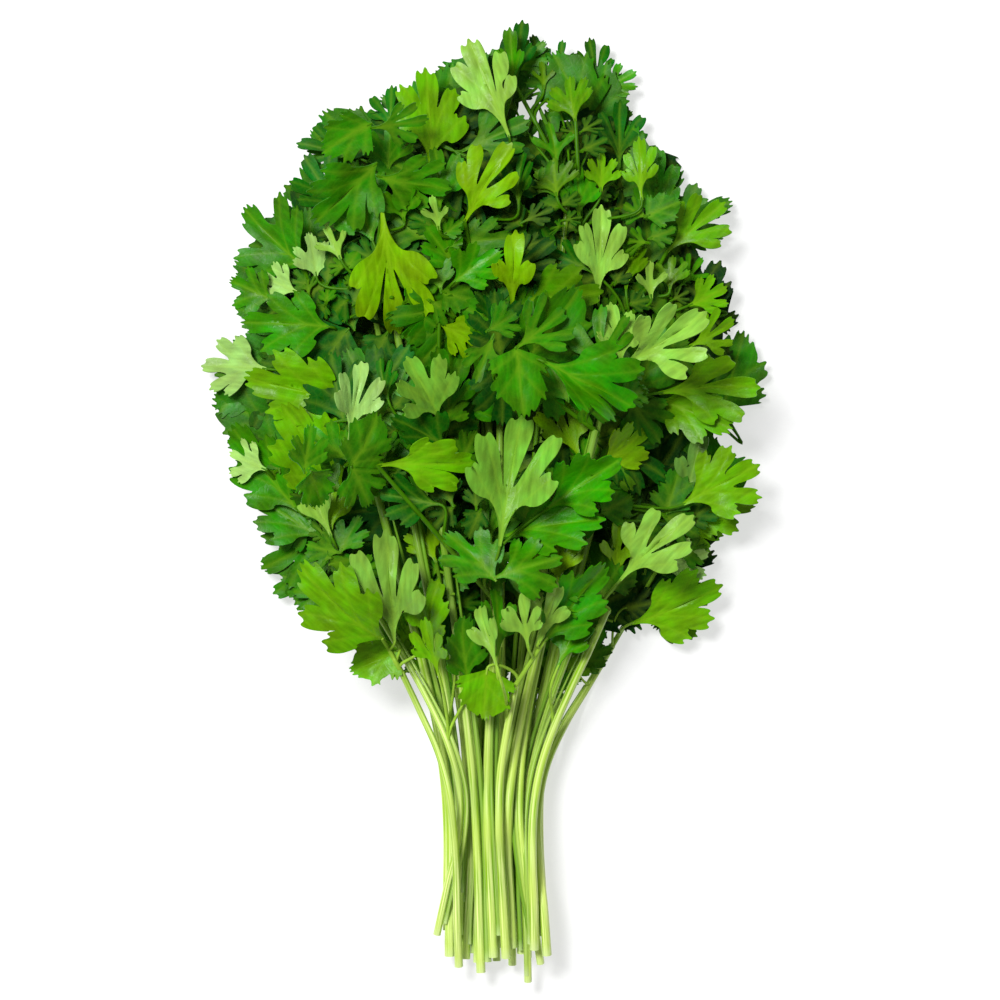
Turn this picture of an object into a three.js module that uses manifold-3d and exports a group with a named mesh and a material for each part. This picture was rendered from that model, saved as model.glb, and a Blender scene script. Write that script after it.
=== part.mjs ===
import * as THREE from 'three';
import { mergeVertices } from 'three/addons/utils/BufferGeometryUtils.js';
import Module from 'manifold-3d';

// A bunch of cut flat-leaf parsley lying on a surface: stalks towards -Y, leaf tips towards +Y, +Z up.
// Every sprig is one stalk and the compound leaf that it carries. The sprigs are laid one by one, from
// the bottom of the pile to the top, and each comes to rest on the sprigs that already lie there.

const wasm = await Module();
wasm.setup();

// ---------------------------------------------------------------- driving dimensions, in millimetres
const NECK_Y = -89;
const STALK_RADIUS = [1.35, 1.85];
const STALK_SIDES = 6;
const STALK_STEP = 16;
const RACHIS_RADIUS = 1.1;
const RACHIS_SIDES = 5;
const RACHIS_STEPS = 3;
const BRANCH_HALF = 0.7;
const BLADE_THICKNESS = 0.8;
const BLADE_POINT = 0.45;
const BLADE_GRIP = 2.5;
const LEADER_ROOT = 0.6;
const ROOT_RANGE = [0.3, 0.92];
const FORK_GAP = 0.4;
const COLLAR = 2.2;
const SKIN = 0.35;
const EDGE_MARGIN = 0.8;

// One side of a leaflet, from its base to its tip: part of the length, and part of the half width.
const LEAFLET_SIDE = [[0.42, 0.85], [0.72, 1]];

// One side of a hand of three leaflets, around its palm: an angle in degrees, and a distance.
const HAND_SIDE = [[88, 8], [70, 20], [50, 24], [34, 20], [27, 12], [20, 22]];
const HAND_TIP = 27;
const HAND_TAIL = 9;

// How steeply a stalk, a rachis and a side branch may climb, and a blade may tilt (rise over run).
const STALK_CLIMB = 0.3;
const RACHIS_CLIMB = 0.55;
const BRANCH_CLIMB = 0.9;
const BLADE_TILT = 0.42;
const LEAFLET_LEAN = 0.22;
const HAND_LEAN = 0.12;
const BED_FOLLOW = 0.6;

// A full frond carries five hands of three leaflets: how far along and aside, and how far it turns.
const HANDS = [
  { along: 0.9, aside: 0, turn: 0 },
  { along: 0.6, aside: 0.36, turn: 52 },
  { along: 0.6, aside: -0.36, turn: -52 },
  { along: 0.12, aside: 0.3, turn: 84 },
  { along: 0.12, aside: -0.3, turn: -84 },
];

// ---------------------------------------------------------------- the sprigs, bottom of the pile first
// cut: where the stalk ends; neck: where it crosses the neck; fork: where the leaf begins. A frond has a
// heading in degrees, a reach, how far its hands spread and how many it has. Another leaf lists its parts
// one by one, the lowest first. hands: x, y, heading; leaflets: base x, base y, tip x, tip y, width.
const SPRIGS = [
  { cut: [-9, -143], neck: -8.1, fork: [-22, -38], heading: 122, reach: 20, spread: 0.5, hands: 3 },
  { cut: [20, -139], neck: 19.2, fork: [32, -36], heading: 58, reach: 22, spread: 0.5, hands: 3 },
  { cut: [-11, -137], neck: -12, fork: [-34, 24], heading: 128, reach: 22, spread: 0.8, hands: 3 },
  { cut: [15, -146], neck: 15.3, fork: [38, 26], heading: 50, reach: 24, spread: 0.8, hands: 3 },
  { cut: [1, -141], neck: -0.3, fork: [0, -40], heading: 95, reach: 30, spread: 0.8, hands: 3 },
  { cut: [5, -147], neck: 3.6, fork: [2, 4], heading: 90, reach: 38, spread: 1, hands: 5 },
  { cut: [-4, -140], neck: -4.2, fork: [-22, 60], heading: 108, reach: 28, spread: 1, hands: 3 },
  { cut: [12, -140], neck: 11.4, fork: [26, 66], heading: 74, reach: 30, spread: 1, hands: 5 },
  { cut: [8, -137], neck: 7.5, fork: [0, 76], heading: 90, reach: 32, spread: 1, hands: 5 },
  // upper right, far back
  { cut: [10, -148], neck: 10, fork: [28, 100],
    hands: [],
    leaflets: [
      [19, 135, 18, 149, 9], [38, 131, 34, 148, 13], [25, 135, 25, 147, 10], [38, 130, 49, 138, 11],
      [20, 131, 20, 140, 8], [11, 132, 12, 153, 10]] },
  // upper left edge
  { cut: [-5, -146], neck: -4, fork: [-32, 86],
    hands: [],
    leaflets: [[-39, 109, -58, 116, 17], [-44, 92, -58, 108, 20], [-28, 116, -30, 132, 16]] },
  // right edge
  { cut: [17, -137], neck: 17, fork: [48, 44],
    hands: [[49, 48, 62]],
    leaflets: [
      [56, 84, 55, 113, 15], [64, 69, 71, 77, 13], [66, 62, 79, 67, 13], [66, 49, 81, 56, 15]] },
  // left edge
  { cut: [-10, -145], neck: -11, fork: [-38, 24],
    hands: [],
    leaflets: [
      [-48, 52, -67, 50, 15], [-56, 74, -77, 91, 29], [-58, 66, -70, 71, 13], [-66, 64, -80, 69, 15],
      [-48, 55, -76, 57, 20], [-68, 42, -89, 44, 19], [-42, 32, -75, 37, 22]] },
  // top, right of the middle
  { cut: [13, -144], neck: 13.5, fork: [32, 82],
    hands: [],
    leaflets: [
      [30, 120, 28, 135, 15], [44, 106, 44, 128, 18], [24, 107, 22, 120, 14], [31, 90, 30, 107, 14],
      [38, 98, 38, 111, 12], [51, 95, 49, 115, 12], [24, 96, 22, 108, 15]] },
  // top
  { cut: [3, -138], neck: 3, fork: [-4, 84],
    hands: [[0, 88, 84]],
    leaflets: [
      [-16, 106, -15, 137, 22], [6, 130, 8, 148, 9], [-29, 104, -29, 120, 16], [10, 130, 11, 150, 9],
      [12, 92, 12, 110, 13], [-13, 92, -15, 112, 17], [9, 115, -2, 147, 20]] },
  // low in the middle
  { cut: [-1, -147], neck: -0.5, fork: [-6, -58],
    hands: [],
    leaflets: [
      [-8, -51, -8, -29, 11], [-7, -28, -7, -10, 14], [12, -32, 12, -16, 13], [-14, -19, -20, -5, 12]] },
  // upper left
  { cut: [-7, -138], neck: -7.5, fork: [-34, 62],
    hands: [],
    leaflets: [
      [-40, 59, -50, 70, 14], [-34, 82, -42, 107, 20], [-52, 71, -54, 85, 14], [-44, 76, -49, 87, 12],
      [-24, 88, -27, 101, 12], [-31, 92, -26, 52, 27]] },
  // right, low
  { cut: [15, -153], neck: 15.5, fork: [44, -6],
    hands: [[42, -1, 84]],
    leaflets: [
      [62, -8, 77, -13, 14], [65, -3, 88, -3, 18], [65, -1, 68, 22, 11], [64, -1, 88, 13, 22],
      [38, 11, 53, 23, 14], [32, 12, 22, 36, 17]] },
  // upper right
  { cut: [19, -147], neck: 12.5, fork: [44, 52],
    hands: [],
    leaflets: [
      [34, 73, 22, 80, 13], [60, 67, 60, 78, 12], [46, 67, 47, 84, 13], [54, 64, 53, 76, 11],
      [37, 63, 38, 94, 18], [59, 79, 77, 96, 20]] },
  // left
  { cut: [-14, -138], neck: -7, fork: [-40, -22],
    hands: [],
    leaflets: [
      [-50, -12, -73, 2, 18], [-58, -3, -82, 22, 18], [-68, 10, -80, 15, 14], [-44, 4, -63, 31, 24],
      [-47, -9, -46, 6, 12], [-47, -11, -55, 7, 11]] },
  // middle, above the centre
  { cut: [6, -142], neck: 6.5, fork: [6, 32],
    hands: [[0, 37, 122], [10, 37, 62]],
    leaflets: [
      [3, 57, 2, 70, 12], [-7, 73, -18, 86, 13], [17, 50, 26, 68, 19], [6, 52, 16, 40, 14],
      [-8, 69, 6, 80, 15], [10, 61, 9, 85, 12], [-13, 85, -15, 96, 9], [-5, 88, 11, 112, 22]] },
  // left of the centre
  { cut: [0, -150], neck: -2.5, fork: [-14, 6],
    hands: [[-17, 11, 118]],
    leaflets: [
      [-30, 12, -31, 24, 12], [-29, 32, -32, 45, 13], [-8, 29, 10, 37, 14], [-13, 56, 1, 48, 13],
      [-10, 16, -28, 28, 14], [-10, 26, -12, 49, 18], [-13, 26, -24, 45, 20], [-41, 19, -40, 44, 17]] },
  // right
  { cut: [10, -142], neck: 9.5, fork: [36, 22],
    hands: [[33, 28, 112]],
    leaflets: [
      [57, 32, 80, 23, 17], [56, 34, 88, 38, 24], [44, 43, 41, 62, 14], [44, 42, 70, 60, 24],
      [20, 43, 47, 27, 23]] },
  // lowest on the right
  { cut: [21, -144], neck: 19.5, fork: [42, -46],
    hands: [],
    leaflets: [[56, -22, 72, -15, 16], [51, -37, 73, -36, 16], [48, -39, 78, -28, 20]] },
  // right of the neck
  { cut: [17, -142], neck: 18, fork: [40, -34],
    hands: [],
    leaflets: [[24, -25, 25, -10, 16], [43, -25, 44, -5, 14], [44, -25, 65, -2, 22]] },
  // lowest on the left
  { cut: [-7, -148], neck: -10.6, fork: [-25, -54],
    hands: [],
    leaflets: [
      [-18, -46, -12, -24, 14], [-26, -47, -41, -55, 15], [-27, -44, -27, -8, 25],
      [-30, -44, -42, -19, 11], [-31, -43, -60, -21, 24]] },
  // on top, at the centre
  { cut: [4, -145], neck: 2, fork: [5, -32],
    hands: [],
    leaflets: [
      [-13, -1, -32, 2, 16], [8, -11, 40, -4, 18], [20, -3, 44, 14, 18], [-2, 15, -32, 11, 17],
      [6, -14, 11, 28, 30]] },
  // over the neck
  { cut: [8, -145], neck: 6, fork: [11, -58],
    hands: [],
    leaflets: [
      [-4, -56, -7, -36, 13], [-13, -55, -18, -36, 13], [24, -53, 33, -34, 14], [5, -49, 6, -27, 14],
      [20, -44, 41, -20, 17], [18, -45, 26, -25, 13], [15, -46, 12, -28, 15], [5, -51, 0, -33, 9],
      [2, -53, 0, -69, 18]] },
];

// ---------------------------------------------------------------- seeded chance
const SEED = 20;

function makeRandom(seed) {
  let state = seed;
  return () => {
    state = (state * 1664525 + 1013904223) % 4294967296;
    return state / 4294967296;
  };
}

const random = makeRandom(SEED);
const between = (low, high) => low + (high - low) * random();
const clamp = (value, limit) => Math.max(-limit, Math.min(limit, value));
const radians = (degrees) => (degrees * Math.PI) / 180;

// ---------------------------------------------------------------- the bed: how high the pile is so far
const CELL = 0.5;
const BED_HALF = 190;
const BED_CELLS = (2 * BED_HALF) / CELL;
const bed = new Float32Array(BED_CELLS * BED_CELLS);

const cellOf = (place) => Math.floor((place + BED_HALF) / CELL);
const centreOf = (cell) => (cell + 0.5) * CELL - BED_HALF;

function cellsInBox(box, visit) {
  for (let row = cellOf(box.min.y); row <= cellOf(box.max.y); row++) {
    for (let column = cellOf(box.min.x); column <= cellOf(box.max.x); column++) {
      visit(row * BED_CELLS + column, centreOf(column), centreOf(row));
    }
  }
}

// Visits the cells under a tube from a to b, with the place along it and the tube's half depth there.
function cellsUnderTube(a, b, radius, visit) {
  const reach = radius + SKIN;
  const box = new THREE.Box2().setFromPoints([a, b]).expandByScalar(reach + CELL);
  const run = new THREE.Vector2().subVectors(b, a);
  cellsInBox(box, (cell, x, y) => {
    const along = ((x - a.x) * run.x + (y - a.y) * run.y) / run.lengthSq();
    const t = Math.max(0, Math.min(1, along));
    const offset = Math.hypot(x - a.x - t * run.x, y - a.y - t * run.y);
    if (offset < reach) visit(cell, t, Math.sqrt(reach * reach - offset * offset));
  });
}

// Whether a place lies inside an outline, or within the margin around it.
function covers(outline, u, v) {
  let inside = false;
  for (let corner = 0; corner < outline.length; corner++) {
    const a = outline[corner];
    const b = outline[(corner + 1) % outline.length];
    const run = { u: b.x - a.x, v: b.y - a.y };
    const along = ((u - a.x) * run.u + (v - a.y) * run.v) / (run.u * run.u + run.v * run.v);
    const t = Math.max(0, Math.min(1, along));
    if (Math.hypot(u - a.x - t * run.u, v - a.y - t * run.v) < EDGE_MARGIN) return true;
    if ((a.y > v) !== (b.y > v) && u < a.x + (run.u * (v - a.y)) / run.v) inside = !inside;
  }
  return inside;
}

// Visits the cells under a blade, with how far each is along and across it.
function cellsUnderBlade({ base, ahead, outline, reach }, visit) {
  const box = new THREE.Box2(base.clone(), base.clone()).expandByScalar(reach + EDGE_MARGIN);
  cellsInBox(box, (cell, x, y) => {
    const u = (x - base.x) * ahead.x + (y - base.y) * ahead.y;
    const v = (y - base.y) * ahead.x - (x - base.x) * ahead.y;
    if (covers(outline, u, v)) visit(cell, u, v);
  });
}

// The slope of the pile under a blade, along and across it, by least squares.
function slopeUnder(blade) {
  let count = 0;
  const sum = { u: 0, v: 0, h: 0, uu: 0, vv: 0, uh: 0, vh: 0 };
  cellsUnderBlade(blade, (cell, u, v) => {
    const h = bed[cell];
    count += 1;
    sum.u += u;
    sum.v += v;
    sum.h += h;
    sum.uu += u * u;
    sum.vv += v * v;
    sum.uh += u * h;
    sum.vh += v * h;
  });
  const along = (sum.uh - (sum.u * sum.h) / count) / (sum.uu - (sum.u * sum.u) / count);
  const across = (sum.vh - (sum.v * sum.h) / count) / (sum.vv - (sum.v * sum.v) / count);
  return { along, across };
}

// ---------------------------------------------------------------- laying a sprig on the pile
function mirrored(start, side, end) {
  const otherSide = side.map((point) => new THREE.Vector2(point.x, -point.y));
  return [start, ...otherSide, end, ...side.reverse()];
}

function leafletOutline(length, width) {
  const side = LEAFLET_SIDE.map(([u, v]) => new THREE.Vector2(u * length, (v * width) / 2));
  return mirrored(new THREE.Vector2(0, 0), side, new THREE.Vector2(length, 0));
}

function handOutline(scale) {
  const side = HAND_SIDE.map(([angle, distance]) => new THREE.Vector2(
    (HAND_TAIL + distance * Math.cos(radians(angle))) * scale,
    distance * Math.sin(radians(angle)) * scale,
  ));
  return mirrored(new THREE.Vector2(0, 0), side, new THREE.Vector2((HAND_TAIL + HAND_TIP) * scale, 0));
}

function makeBlade(base, ahead, outline, lean) {
  const reach = Math.max(...outline.map((point) => point.length()));
  const blade = { base, ahead, outline, reach };
  const slope = slopeUnder(blade);
  blade.rise = clamp(slope.along * BED_FOLLOW + between(-lean, lean), BLADE_TILT);
  blade.roll = clamp(slope.across * BED_FOLLOW + between(-lean, lean), BLADE_TILT);
  return blade;
}

function leafletBlade([baseX, baseY, tipX, tipY, width]) {
  const ahead = new THREE.Vector2(tipX - baseX, tipY - baseY);
  const length = ahead.length();
  const base = new THREE.Vector2(baseX, baseY);
  const blade = makeBlade(base, ahead.normalize(), leafletOutline(length, width), LEAFLET_LEAN);
  return { ...blade, length, width };
}

function handBlade([x, y, heading]) {
  const ahead = new THREE.Vector2(Math.cos(radians(heading)), Math.sin(radians(heading)));
  return makeBlade(new THREE.Vector2(x, y), ahead, handOutline(between(0.92, 1.08)), HAND_LEAN);
}

function heightNeeded(blade) {
  const slack = ((Math.abs(blade.rise) + Math.abs(blade.roll)) * CELL) / 2;
  let height = 0;
  cellsUnderBlade(blade, (cell, u, v) => {
    height = Math.max(height, bed[cell] + SKIN + slack - blade.rise * u - blade.roll * v);
  });
  return height;
}

function coverWithBlade(blade) {
  const top = blade.point.z + BLADE_THICKNESS + SKIN;
  cellsUnderBlade(blade, (cell, u, v) => {
    bed[cell] = Math.max(bed[cell], top + blade.rise * u + blade.roll * v);
  });
}

function coverWithLink({ a, b, radius }) {
  cellsUnderTube(a, b, radius, (cell, t, depth) => {
    bed[cell] = Math.max(bed[cell], a.z + (b.z - a.z) * t + depth);
  });
}

function makeLink(a, b, radius, climb) {
  const needs = [];
  cellsUnderTube(a, b, radius, (cell, t, depth) => needs.push({ t, height: bed[cell] + depth }));
  return { a, b, radius, needs, rise: climb * Math.hypot(b.x - a.x, b.y - a.y) };
}

const LIFT_STEP = 0.5;
const MOST_SWEEPS = 600;
const STILL = 0.005;
const SETTLE_ROUNDS = 12;
const BRANCH_BOW = 0.1;

// Lifts the two ends of a link a little, where it lies too deep in the pile or climbs too steeply.
function liftLink(link) {
  const { a, b, needs, rise } = link;
  const before = a.z + b.z;
  let worst = { short: 0, t: 0 };
  for (const { t, height } of needs) {
    const short = height - (a.z + (b.z - a.z) * t);
    if (short > worst.short) worst = { short, t };
  }
  const { short, t } = worst;
  const share = Math.min(short, LIFT_STEP) / ((1 - t) * (1 - t) + t * t);
  a.z += share * (1 - t);
  b.z += share * t;
  a.z = Math.max(a.z, b.z - rise);
  b.z = Math.max(b.z, a.z - rise);
  return a.z + b.z - before;
}

function settle(links) {
  for (let sweep = 0; sweep < MOST_SWEEPS; sweep++) {
    const lifted = links.reduce((sum, link) => sum + liftLink(link), 0);
    if (lifted < STILL) return;
  }
}

const chain = (points, radius, climb) =>
  points.slice(1).map((point, index) => makeLink(points[index], point, radius, climb));

// The stalk's route seen from above, through the cut, the neck and the fork.
function stalkPoints({ cut, neck, fork }) {
  const through = [cut, [neck, NECK_Y], fork].map(([x, y]) => new THREE.Vector3(x, y, 0));
  const route = new THREE.CatmullRomCurve3(through, false, 'centripetal');
  return route.getSpacedPoints(Math.ceil(route.getLength() / STALK_STEP));
}

function frondBlades({ fork, heading, reach, spread, hands }) {
  const ahead = new THREE.Vector2(Math.cos(radians(heading)), Math.sin(radians(heading)));
  return HANDS.slice(0, hands).map(({ along, aside, turn }) => {
    const x = fork[0] + reach * (along * ahead.x - spread * aside * ahead.y);
    const y = fork[1] + reach * (along * ahead.y + spread * aside * ahead.x);
    return handBlade([x, y, heading + spread * turn + between(-8, 8)]);
  });
}

// The rachis goes on from the fork to its farthest hand. The other hands branch off it on the way.
function rachisPoints(start, end) {
  const points = [start];
  for (let step = 1; step < RACHIS_STEPS; step++) {
    points.push(new THREE.Vector3().lerpVectors(start, end, step / RACHIS_STEPS));
  }
  return [...points, end];
}

function branchRoot(rachis, target) {
  const [start] = rachis;
  const end = rachis[RACHIS_STEPS];
  const line = new THREE.Line3(start.clone().setZ(0), end.clone().setZ(0));
  const nearest = line.closestPointToPointParameter(target.clone().setZ(0), true);
  const away = line.at(nearest, new THREE.Vector3()).distanceTo(target.clone().setZ(0));
  const back = (0.5 * away) / Math.max(line.distance(), 1);
  const part = Math.max(ROOT_RANGE[0], Math.min(ROOT_RANGE[1], nearest - back));
  const step = Math.min(RACHIS_STEPS - 1, Math.floor(part * RACHIS_STEPS));
  return { part, step };
}

function makeBranch(rachis, blade) {
  const { part, step } = branchRoot(rachis, blade.point);
  const root = new THREE.Vector3().lerpVectors(rachis[0], rachis[RACHIS_STEPS], part);
  const middle = new THREE.Vector3().lerpVectors(root, blade.point, 0.5);
  const bow = between(-BRANCH_BOW, BRANCH_BOW);
  middle.x += bow * (blade.point.y - root.y);
  middle.y -= bow * (blade.point.x - root.x);
  const seat = { before: rachis[step], after: rachis[step + 1], part: part * RACHIS_STEPS - step };
  return { root, middle, blade, seat };
}

const seatHeight = ({ before, after, part }) => before.z + (after.z - before.z) * part;

// Seats the roots of the branches on the rachis, which is lifted first where a root lies higher.
function seatRoots(branches) {
  for (const { root, seat } of branches) {
    const short = Math.max(0, root.z - seatHeight(seat));
    seat.before.z += short;
    seat.after.z += short;
  }
  for (const { root, seat } of branches) root.z = seatHeight(seat);
}

function laySprig(sprig) {
  const stalkRadius = between(...STALK_RADIUS);
  const stalk = stalkPoints(sprig);
  for (const point of stalk) point.z = stalkRadius + SKIN;
  const fork = stalk[stalk.length - 1];

  const blades = sprig.leaflets
    ? [...sprig.hands.map(handBlade), ...sprig.leaflets.map(leafletBlade)]
    : frondBlades(sprig);
  for (const blade of blades) {
    blade.point = new THREE.Vector3(blade.base.x, blade.base.y, heightNeeded(blade));
  }
  const away = ({ base }) => Math.hypot(base.x - fork.x, base.y - fork.y);
  const leader = blades.reduce((best, blade) => (away(blade) > away(best) ? blade : best));
  const rachis = rachisPoints(fork, leader.point);
  const branches = blades.filter((blade) => blade !== leader).map((blade) => makeBranch(rachis, blade));

  const stalkLinks = chain(stalk, stalkRadius, STALK_CLIMB);
  const rachisLinks = chain(rachis, RACHIS_RADIUS, RACHIS_CLIMB);
  const branchLinks = branches.flatMap(({ root, middle, blade }) =>
    chain([root, middle, blade.point], BRANCH_HALF, BRANCH_CLIMB));
  for (let round = 0; round < SETTLE_ROUNDS; round++) {
    settle([...stalkLinks, ...rachisLinks, ...branchLinks]);
    seatRoots(branches);
  }

  stalkLinks.forEach(coverWithLink);
  for (const blade of blades) {
    blade.point.z = Math.max(blade.point.z, heightNeeded(blade));
    coverWithBlade(blade);
  }
  seatRoots(branches);
  [...rachisLinks, ...branchLinks].forEach(coverWithLink);
  return { stalk, stalkRadius, rachis, branches, blades, leader };
}

// ---------------------------------------------------------------- solids
class Route extends THREE.Curve {
  constructor(points) {
    super();
    this.points = points;
  }

  getPoint(t, target = new THREE.Vector3()) {
    const place = t * (this.points.length - 1);
    const start = Math.min(this.points.length - 2, Math.floor(place));
    return target.lerpVectors(this.points[start], this.points[start + 1], place - start);
  }

  // Steps are counted from point to point, so a tube's rings sit on the route's own corners.
  getPointAt(u, target) {
    return this.getPoint(u, target);
  }

  getTangentAt(u, target) {
    return this.getTangent(u, target);
  }
}

function tubeGeometry(points, radius, sides) {
  const section = new THREE.Shape();
  for (let side = 0; side < sides; side++) {
    const angle = (2 * Math.PI * side) / sides;
    const corner = [radius * Math.cos(angle), radius * Math.sin(angle)];
    if (side === 0) section.moveTo(...corner);
    else section.lineTo(...corner);
  }
  section.closePath();
  const options = { steps: points.length - 1, extrudePath: new Route(points), bevelEnabled: false };
  return new THREE.ExtrudeGeometry(section, options);
}

// A flat band through the sections given, each with its middle, its half width and its way across.
function bandGeometry(sections) {
  const steps = sections.length - 1;
  const geometry = new THREE.BoxGeometry(1, 1, 1, steps, 1, 1);
  const corners = geometry.getAttribute('position');
  for (let corner = 0; corner < corners.count; corner++) {
    const { middle, half, across } = sections[Math.round((corners.getX(corner) + 0.5) * steps)];
    const place = middle.clone().addScaledVector(across, 2 * half * corners.getY(corner));
    place.z += BLADE_THICKNESS * (corners.getZ(corner) + 0.5);
    corners.setXYZ(corner, place.x, place.y, place.z);
  }
  return geometry;
}

const acrossRun = (from, to) => new THREE.Vector3(from.y - to.y, to.x - from.x, 0).normalize();

// A branch's own sections, from inside the rachis to where its blade begins.
function branchSections(points) {
  return points.map((point, index) => {
    const from = points[Math.max(0, index - 1)];
    const to = points[Math.min(points.length - 1, index + 1)];
    const middle = point.clone().setZ(point.z - BLADE_THICKNESS / 2);
    return { middle, half: BRANCH_HALF, across: acrossRun(from, to) };
  });
}

// A leaflet is a band that goes on from its branch and widens into the blade.
function leafletGeometry({ point, ahead, length, width, rise, roll }, branchPoints) {
  const along = new THREE.Vector3(ahead.x, ahead.y, rise);
  const across = new THREE.Vector3(-ahead.y, ahead.x, roll);
  const side = LEAFLET_SIDE.map(([u, v]) => [u, (v * width) / 2]);
  const stations = [[0, BLADE_POINT], ...side, [1, BLADE_POINT]];
  const sections = stations.map(([u, half]) => (
    { middle: point.clone().addScaledVector(along, u * length), half, across }));
  return bandGeometry([...branchSections(branchPoints), ...sections]);
}

// A hand is a sheet cut to the outline of its three leaflets, on a branch that runs into its tail.
function handGeometries({ point, ahead, outline, rise, roll }, branchPoints) {
  const options = { depth: BLADE_THICKNESS, bevelEnabled: false };
  const sheet = new THREE.ExtrudeGeometry(new THREE.Shape(outline), options);
  const along = new THREE.Vector3(ahead.x, ahead.y, rise);
  const across = new THREE.Vector3(-ahead.y, ahead.x, roll);
  const up = new THREE.Vector3(0, 0, 1);
  sheet.applyMatrix4(new THREE.Matrix4().makeBasis(along, across, up).setPosition(point));
  const grip = point.clone().addScaledVector(along, BLADE_GRIP);
  grip.z += BLADE_THICKNESS / 2;
  return [sheet, bandGeometry(branchSections([...branchPoints, grip]))];
}

function merged(geometry) {
  geometry.deleteAttribute('normal');
  geometry.deleteAttribute('uv');
  return mergeVertices(geometry);
}

function solidFrom(geometry) {
  const { index, attributes } = merged(geometry);
  const vertProperties = new Float32Array(attributes.position.array);
  const triVerts = new Uint32Array(index.array);
  return new wasm.Manifold(new wasm.Mesh({ numProp: 3, vertProperties, triVerts }));
}

function geometryFrom(solid) {
  const { vertProperties, triVerts } = solid.getMesh();
  const geometry = new THREE.BufferGeometry();
  geometry.setAttribute('position', new THREE.BufferAttribute(vertProperties, 3));
  geometry.setIndex(new THREE.BufferAttribute(triVerts, 1));
  geometry.computeVertexNormals();
  return geometry;
}

function bladeGeometries(blade, branchPoints) {
  return blade.length ? [leafletGeometry(blade, branchPoints)] : handGeometries(blade, branchPoints);
}

function leafGeometry({ stalk, rachis, branches, leader }) {
  const fork = stalk[stalk.length - 1];
  const onward = new THREE.Vector3().subVectors(fork, stalk[stalk.length - 2]).normalize();
  const collar = [FORK_GAP, COLLAR].map((reach) => fork.clone().addScaledVector(onward, reach));
  const lastStretch = [rachis[RACHIS_STEPS - 1], rachis[RACHIS_STEPS]];
  const leaderRoot = new THREE.Vector3().lerpVectors(...lastStretch, LEADER_ROOT);
  const geometries = [
    tubeGeometry([...collar, ...rachis.slice(1)], RACHIS_RADIUS, RACHIS_SIDES),
    ...bladeGeometries(leader, [leaderRoot]),
    ...branches.flatMap(({ root, middle, blade }) => bladeGeometries(blade, [root, middle])),
  ];
  return geometryFrom(geometries.map(solidFrom).reduce((whole, part) => whole.add(part)));
}

// ---------------------------------------------------------------- the bunch
const stalkGreen = new THREE.MeshStandardMaterial({ color: 0x9cc04a, roughness: 0.45, metalness: 0 });
const leafGreens = [0x2f7a16, 0x3f8f1e, 0x55a32a].map(
  (color) => new THREE.MeshStandardMaterial({ color, roughness: 0.55, metalness: 0 }),
);

const bunch = new THREE.Group();
SPRIGS.forEach((sprig, index) => {
  const number = String(index + 1).padStart(2, '0');
  const laid = laySprig(sprig);
  const stalkShape = merged(tubeGeometry(laid.stalk, laid.stalkRadius, STALK_SIDES));
  const stem = new THREE.Mesh(stalkShape, stalkGreen);
  stem.name = `stem_${number}`;
  const leaf = new THREE.Mesh(leafGeometry(laid), leafGreens[index % leafGreens.length]);
  leaf.name = `leaf_${number}`;
  bunch.add(stem, leaf);
});

// The bunch stands on z = 0, with the middle of its box over the origin.
const bounds = new THREE.Box3().setFromObject(bunch);
const middle = bounds.getCenter(new THREE.Vector3());
bunch.position.set(-middle.x, -middle.y, -bounds.min.z);

export default bunch;
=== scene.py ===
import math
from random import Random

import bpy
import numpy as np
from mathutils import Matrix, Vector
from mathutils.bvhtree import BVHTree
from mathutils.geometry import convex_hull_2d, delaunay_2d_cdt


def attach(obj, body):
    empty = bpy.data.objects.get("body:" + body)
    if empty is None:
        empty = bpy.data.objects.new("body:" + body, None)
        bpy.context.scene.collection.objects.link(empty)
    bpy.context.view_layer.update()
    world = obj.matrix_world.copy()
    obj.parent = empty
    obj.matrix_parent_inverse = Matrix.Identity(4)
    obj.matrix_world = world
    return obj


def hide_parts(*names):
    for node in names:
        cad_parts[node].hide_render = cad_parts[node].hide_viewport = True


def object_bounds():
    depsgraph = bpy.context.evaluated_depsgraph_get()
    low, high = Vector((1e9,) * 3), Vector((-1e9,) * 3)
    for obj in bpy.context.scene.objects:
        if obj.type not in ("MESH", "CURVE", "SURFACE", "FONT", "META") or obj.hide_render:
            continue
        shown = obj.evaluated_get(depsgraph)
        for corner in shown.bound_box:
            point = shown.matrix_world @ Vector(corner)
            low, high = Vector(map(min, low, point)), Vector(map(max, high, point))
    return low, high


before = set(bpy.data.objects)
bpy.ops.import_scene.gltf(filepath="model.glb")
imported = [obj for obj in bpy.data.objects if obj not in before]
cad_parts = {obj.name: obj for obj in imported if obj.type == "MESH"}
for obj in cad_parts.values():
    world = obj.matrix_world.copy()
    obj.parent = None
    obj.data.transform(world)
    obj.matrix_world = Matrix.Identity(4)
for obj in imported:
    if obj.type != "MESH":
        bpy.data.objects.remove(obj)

# %% [markdown]
# # A bunch of flat-leaf parsley
# The frame brings twenty-eight sprigs, and each is two plain solids: a six-sided stalk and a leaf of flat
# plates. Those solids say where everything lies. This script reads their places and grows the real thing on
# them: ribbed, tapering stalks, and toothed leaflets with veins, folds and curled lobes.
# A bunch could also be made by scattering copies of one leaf, but then it repeats. Here every leaflet is cut
# to an outline of its own, and one Geometry Nodes tree gives all of them their bend and their thickness.

cad_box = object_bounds()
LOW, HIGH = (Vector(corner) for corner in cad_box)
MM = 0.001
SEED = 7
chance = Random(SEED)
print("the bunch measures", [round((high - low) / MM) for low, high in zip(LOW, HIGH)], "mm")

# %% [markdown]
# ## Where the stalks run
# A stalk node is a tube of six-sided rings. Its corners, sorted along the bunch, fall into groups of six with
# wide gaps between them, so the middle of each group is a point of the stalk's route. Reading the route from
# the solid keeps the look and the collision shape together when the model changes.

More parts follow.
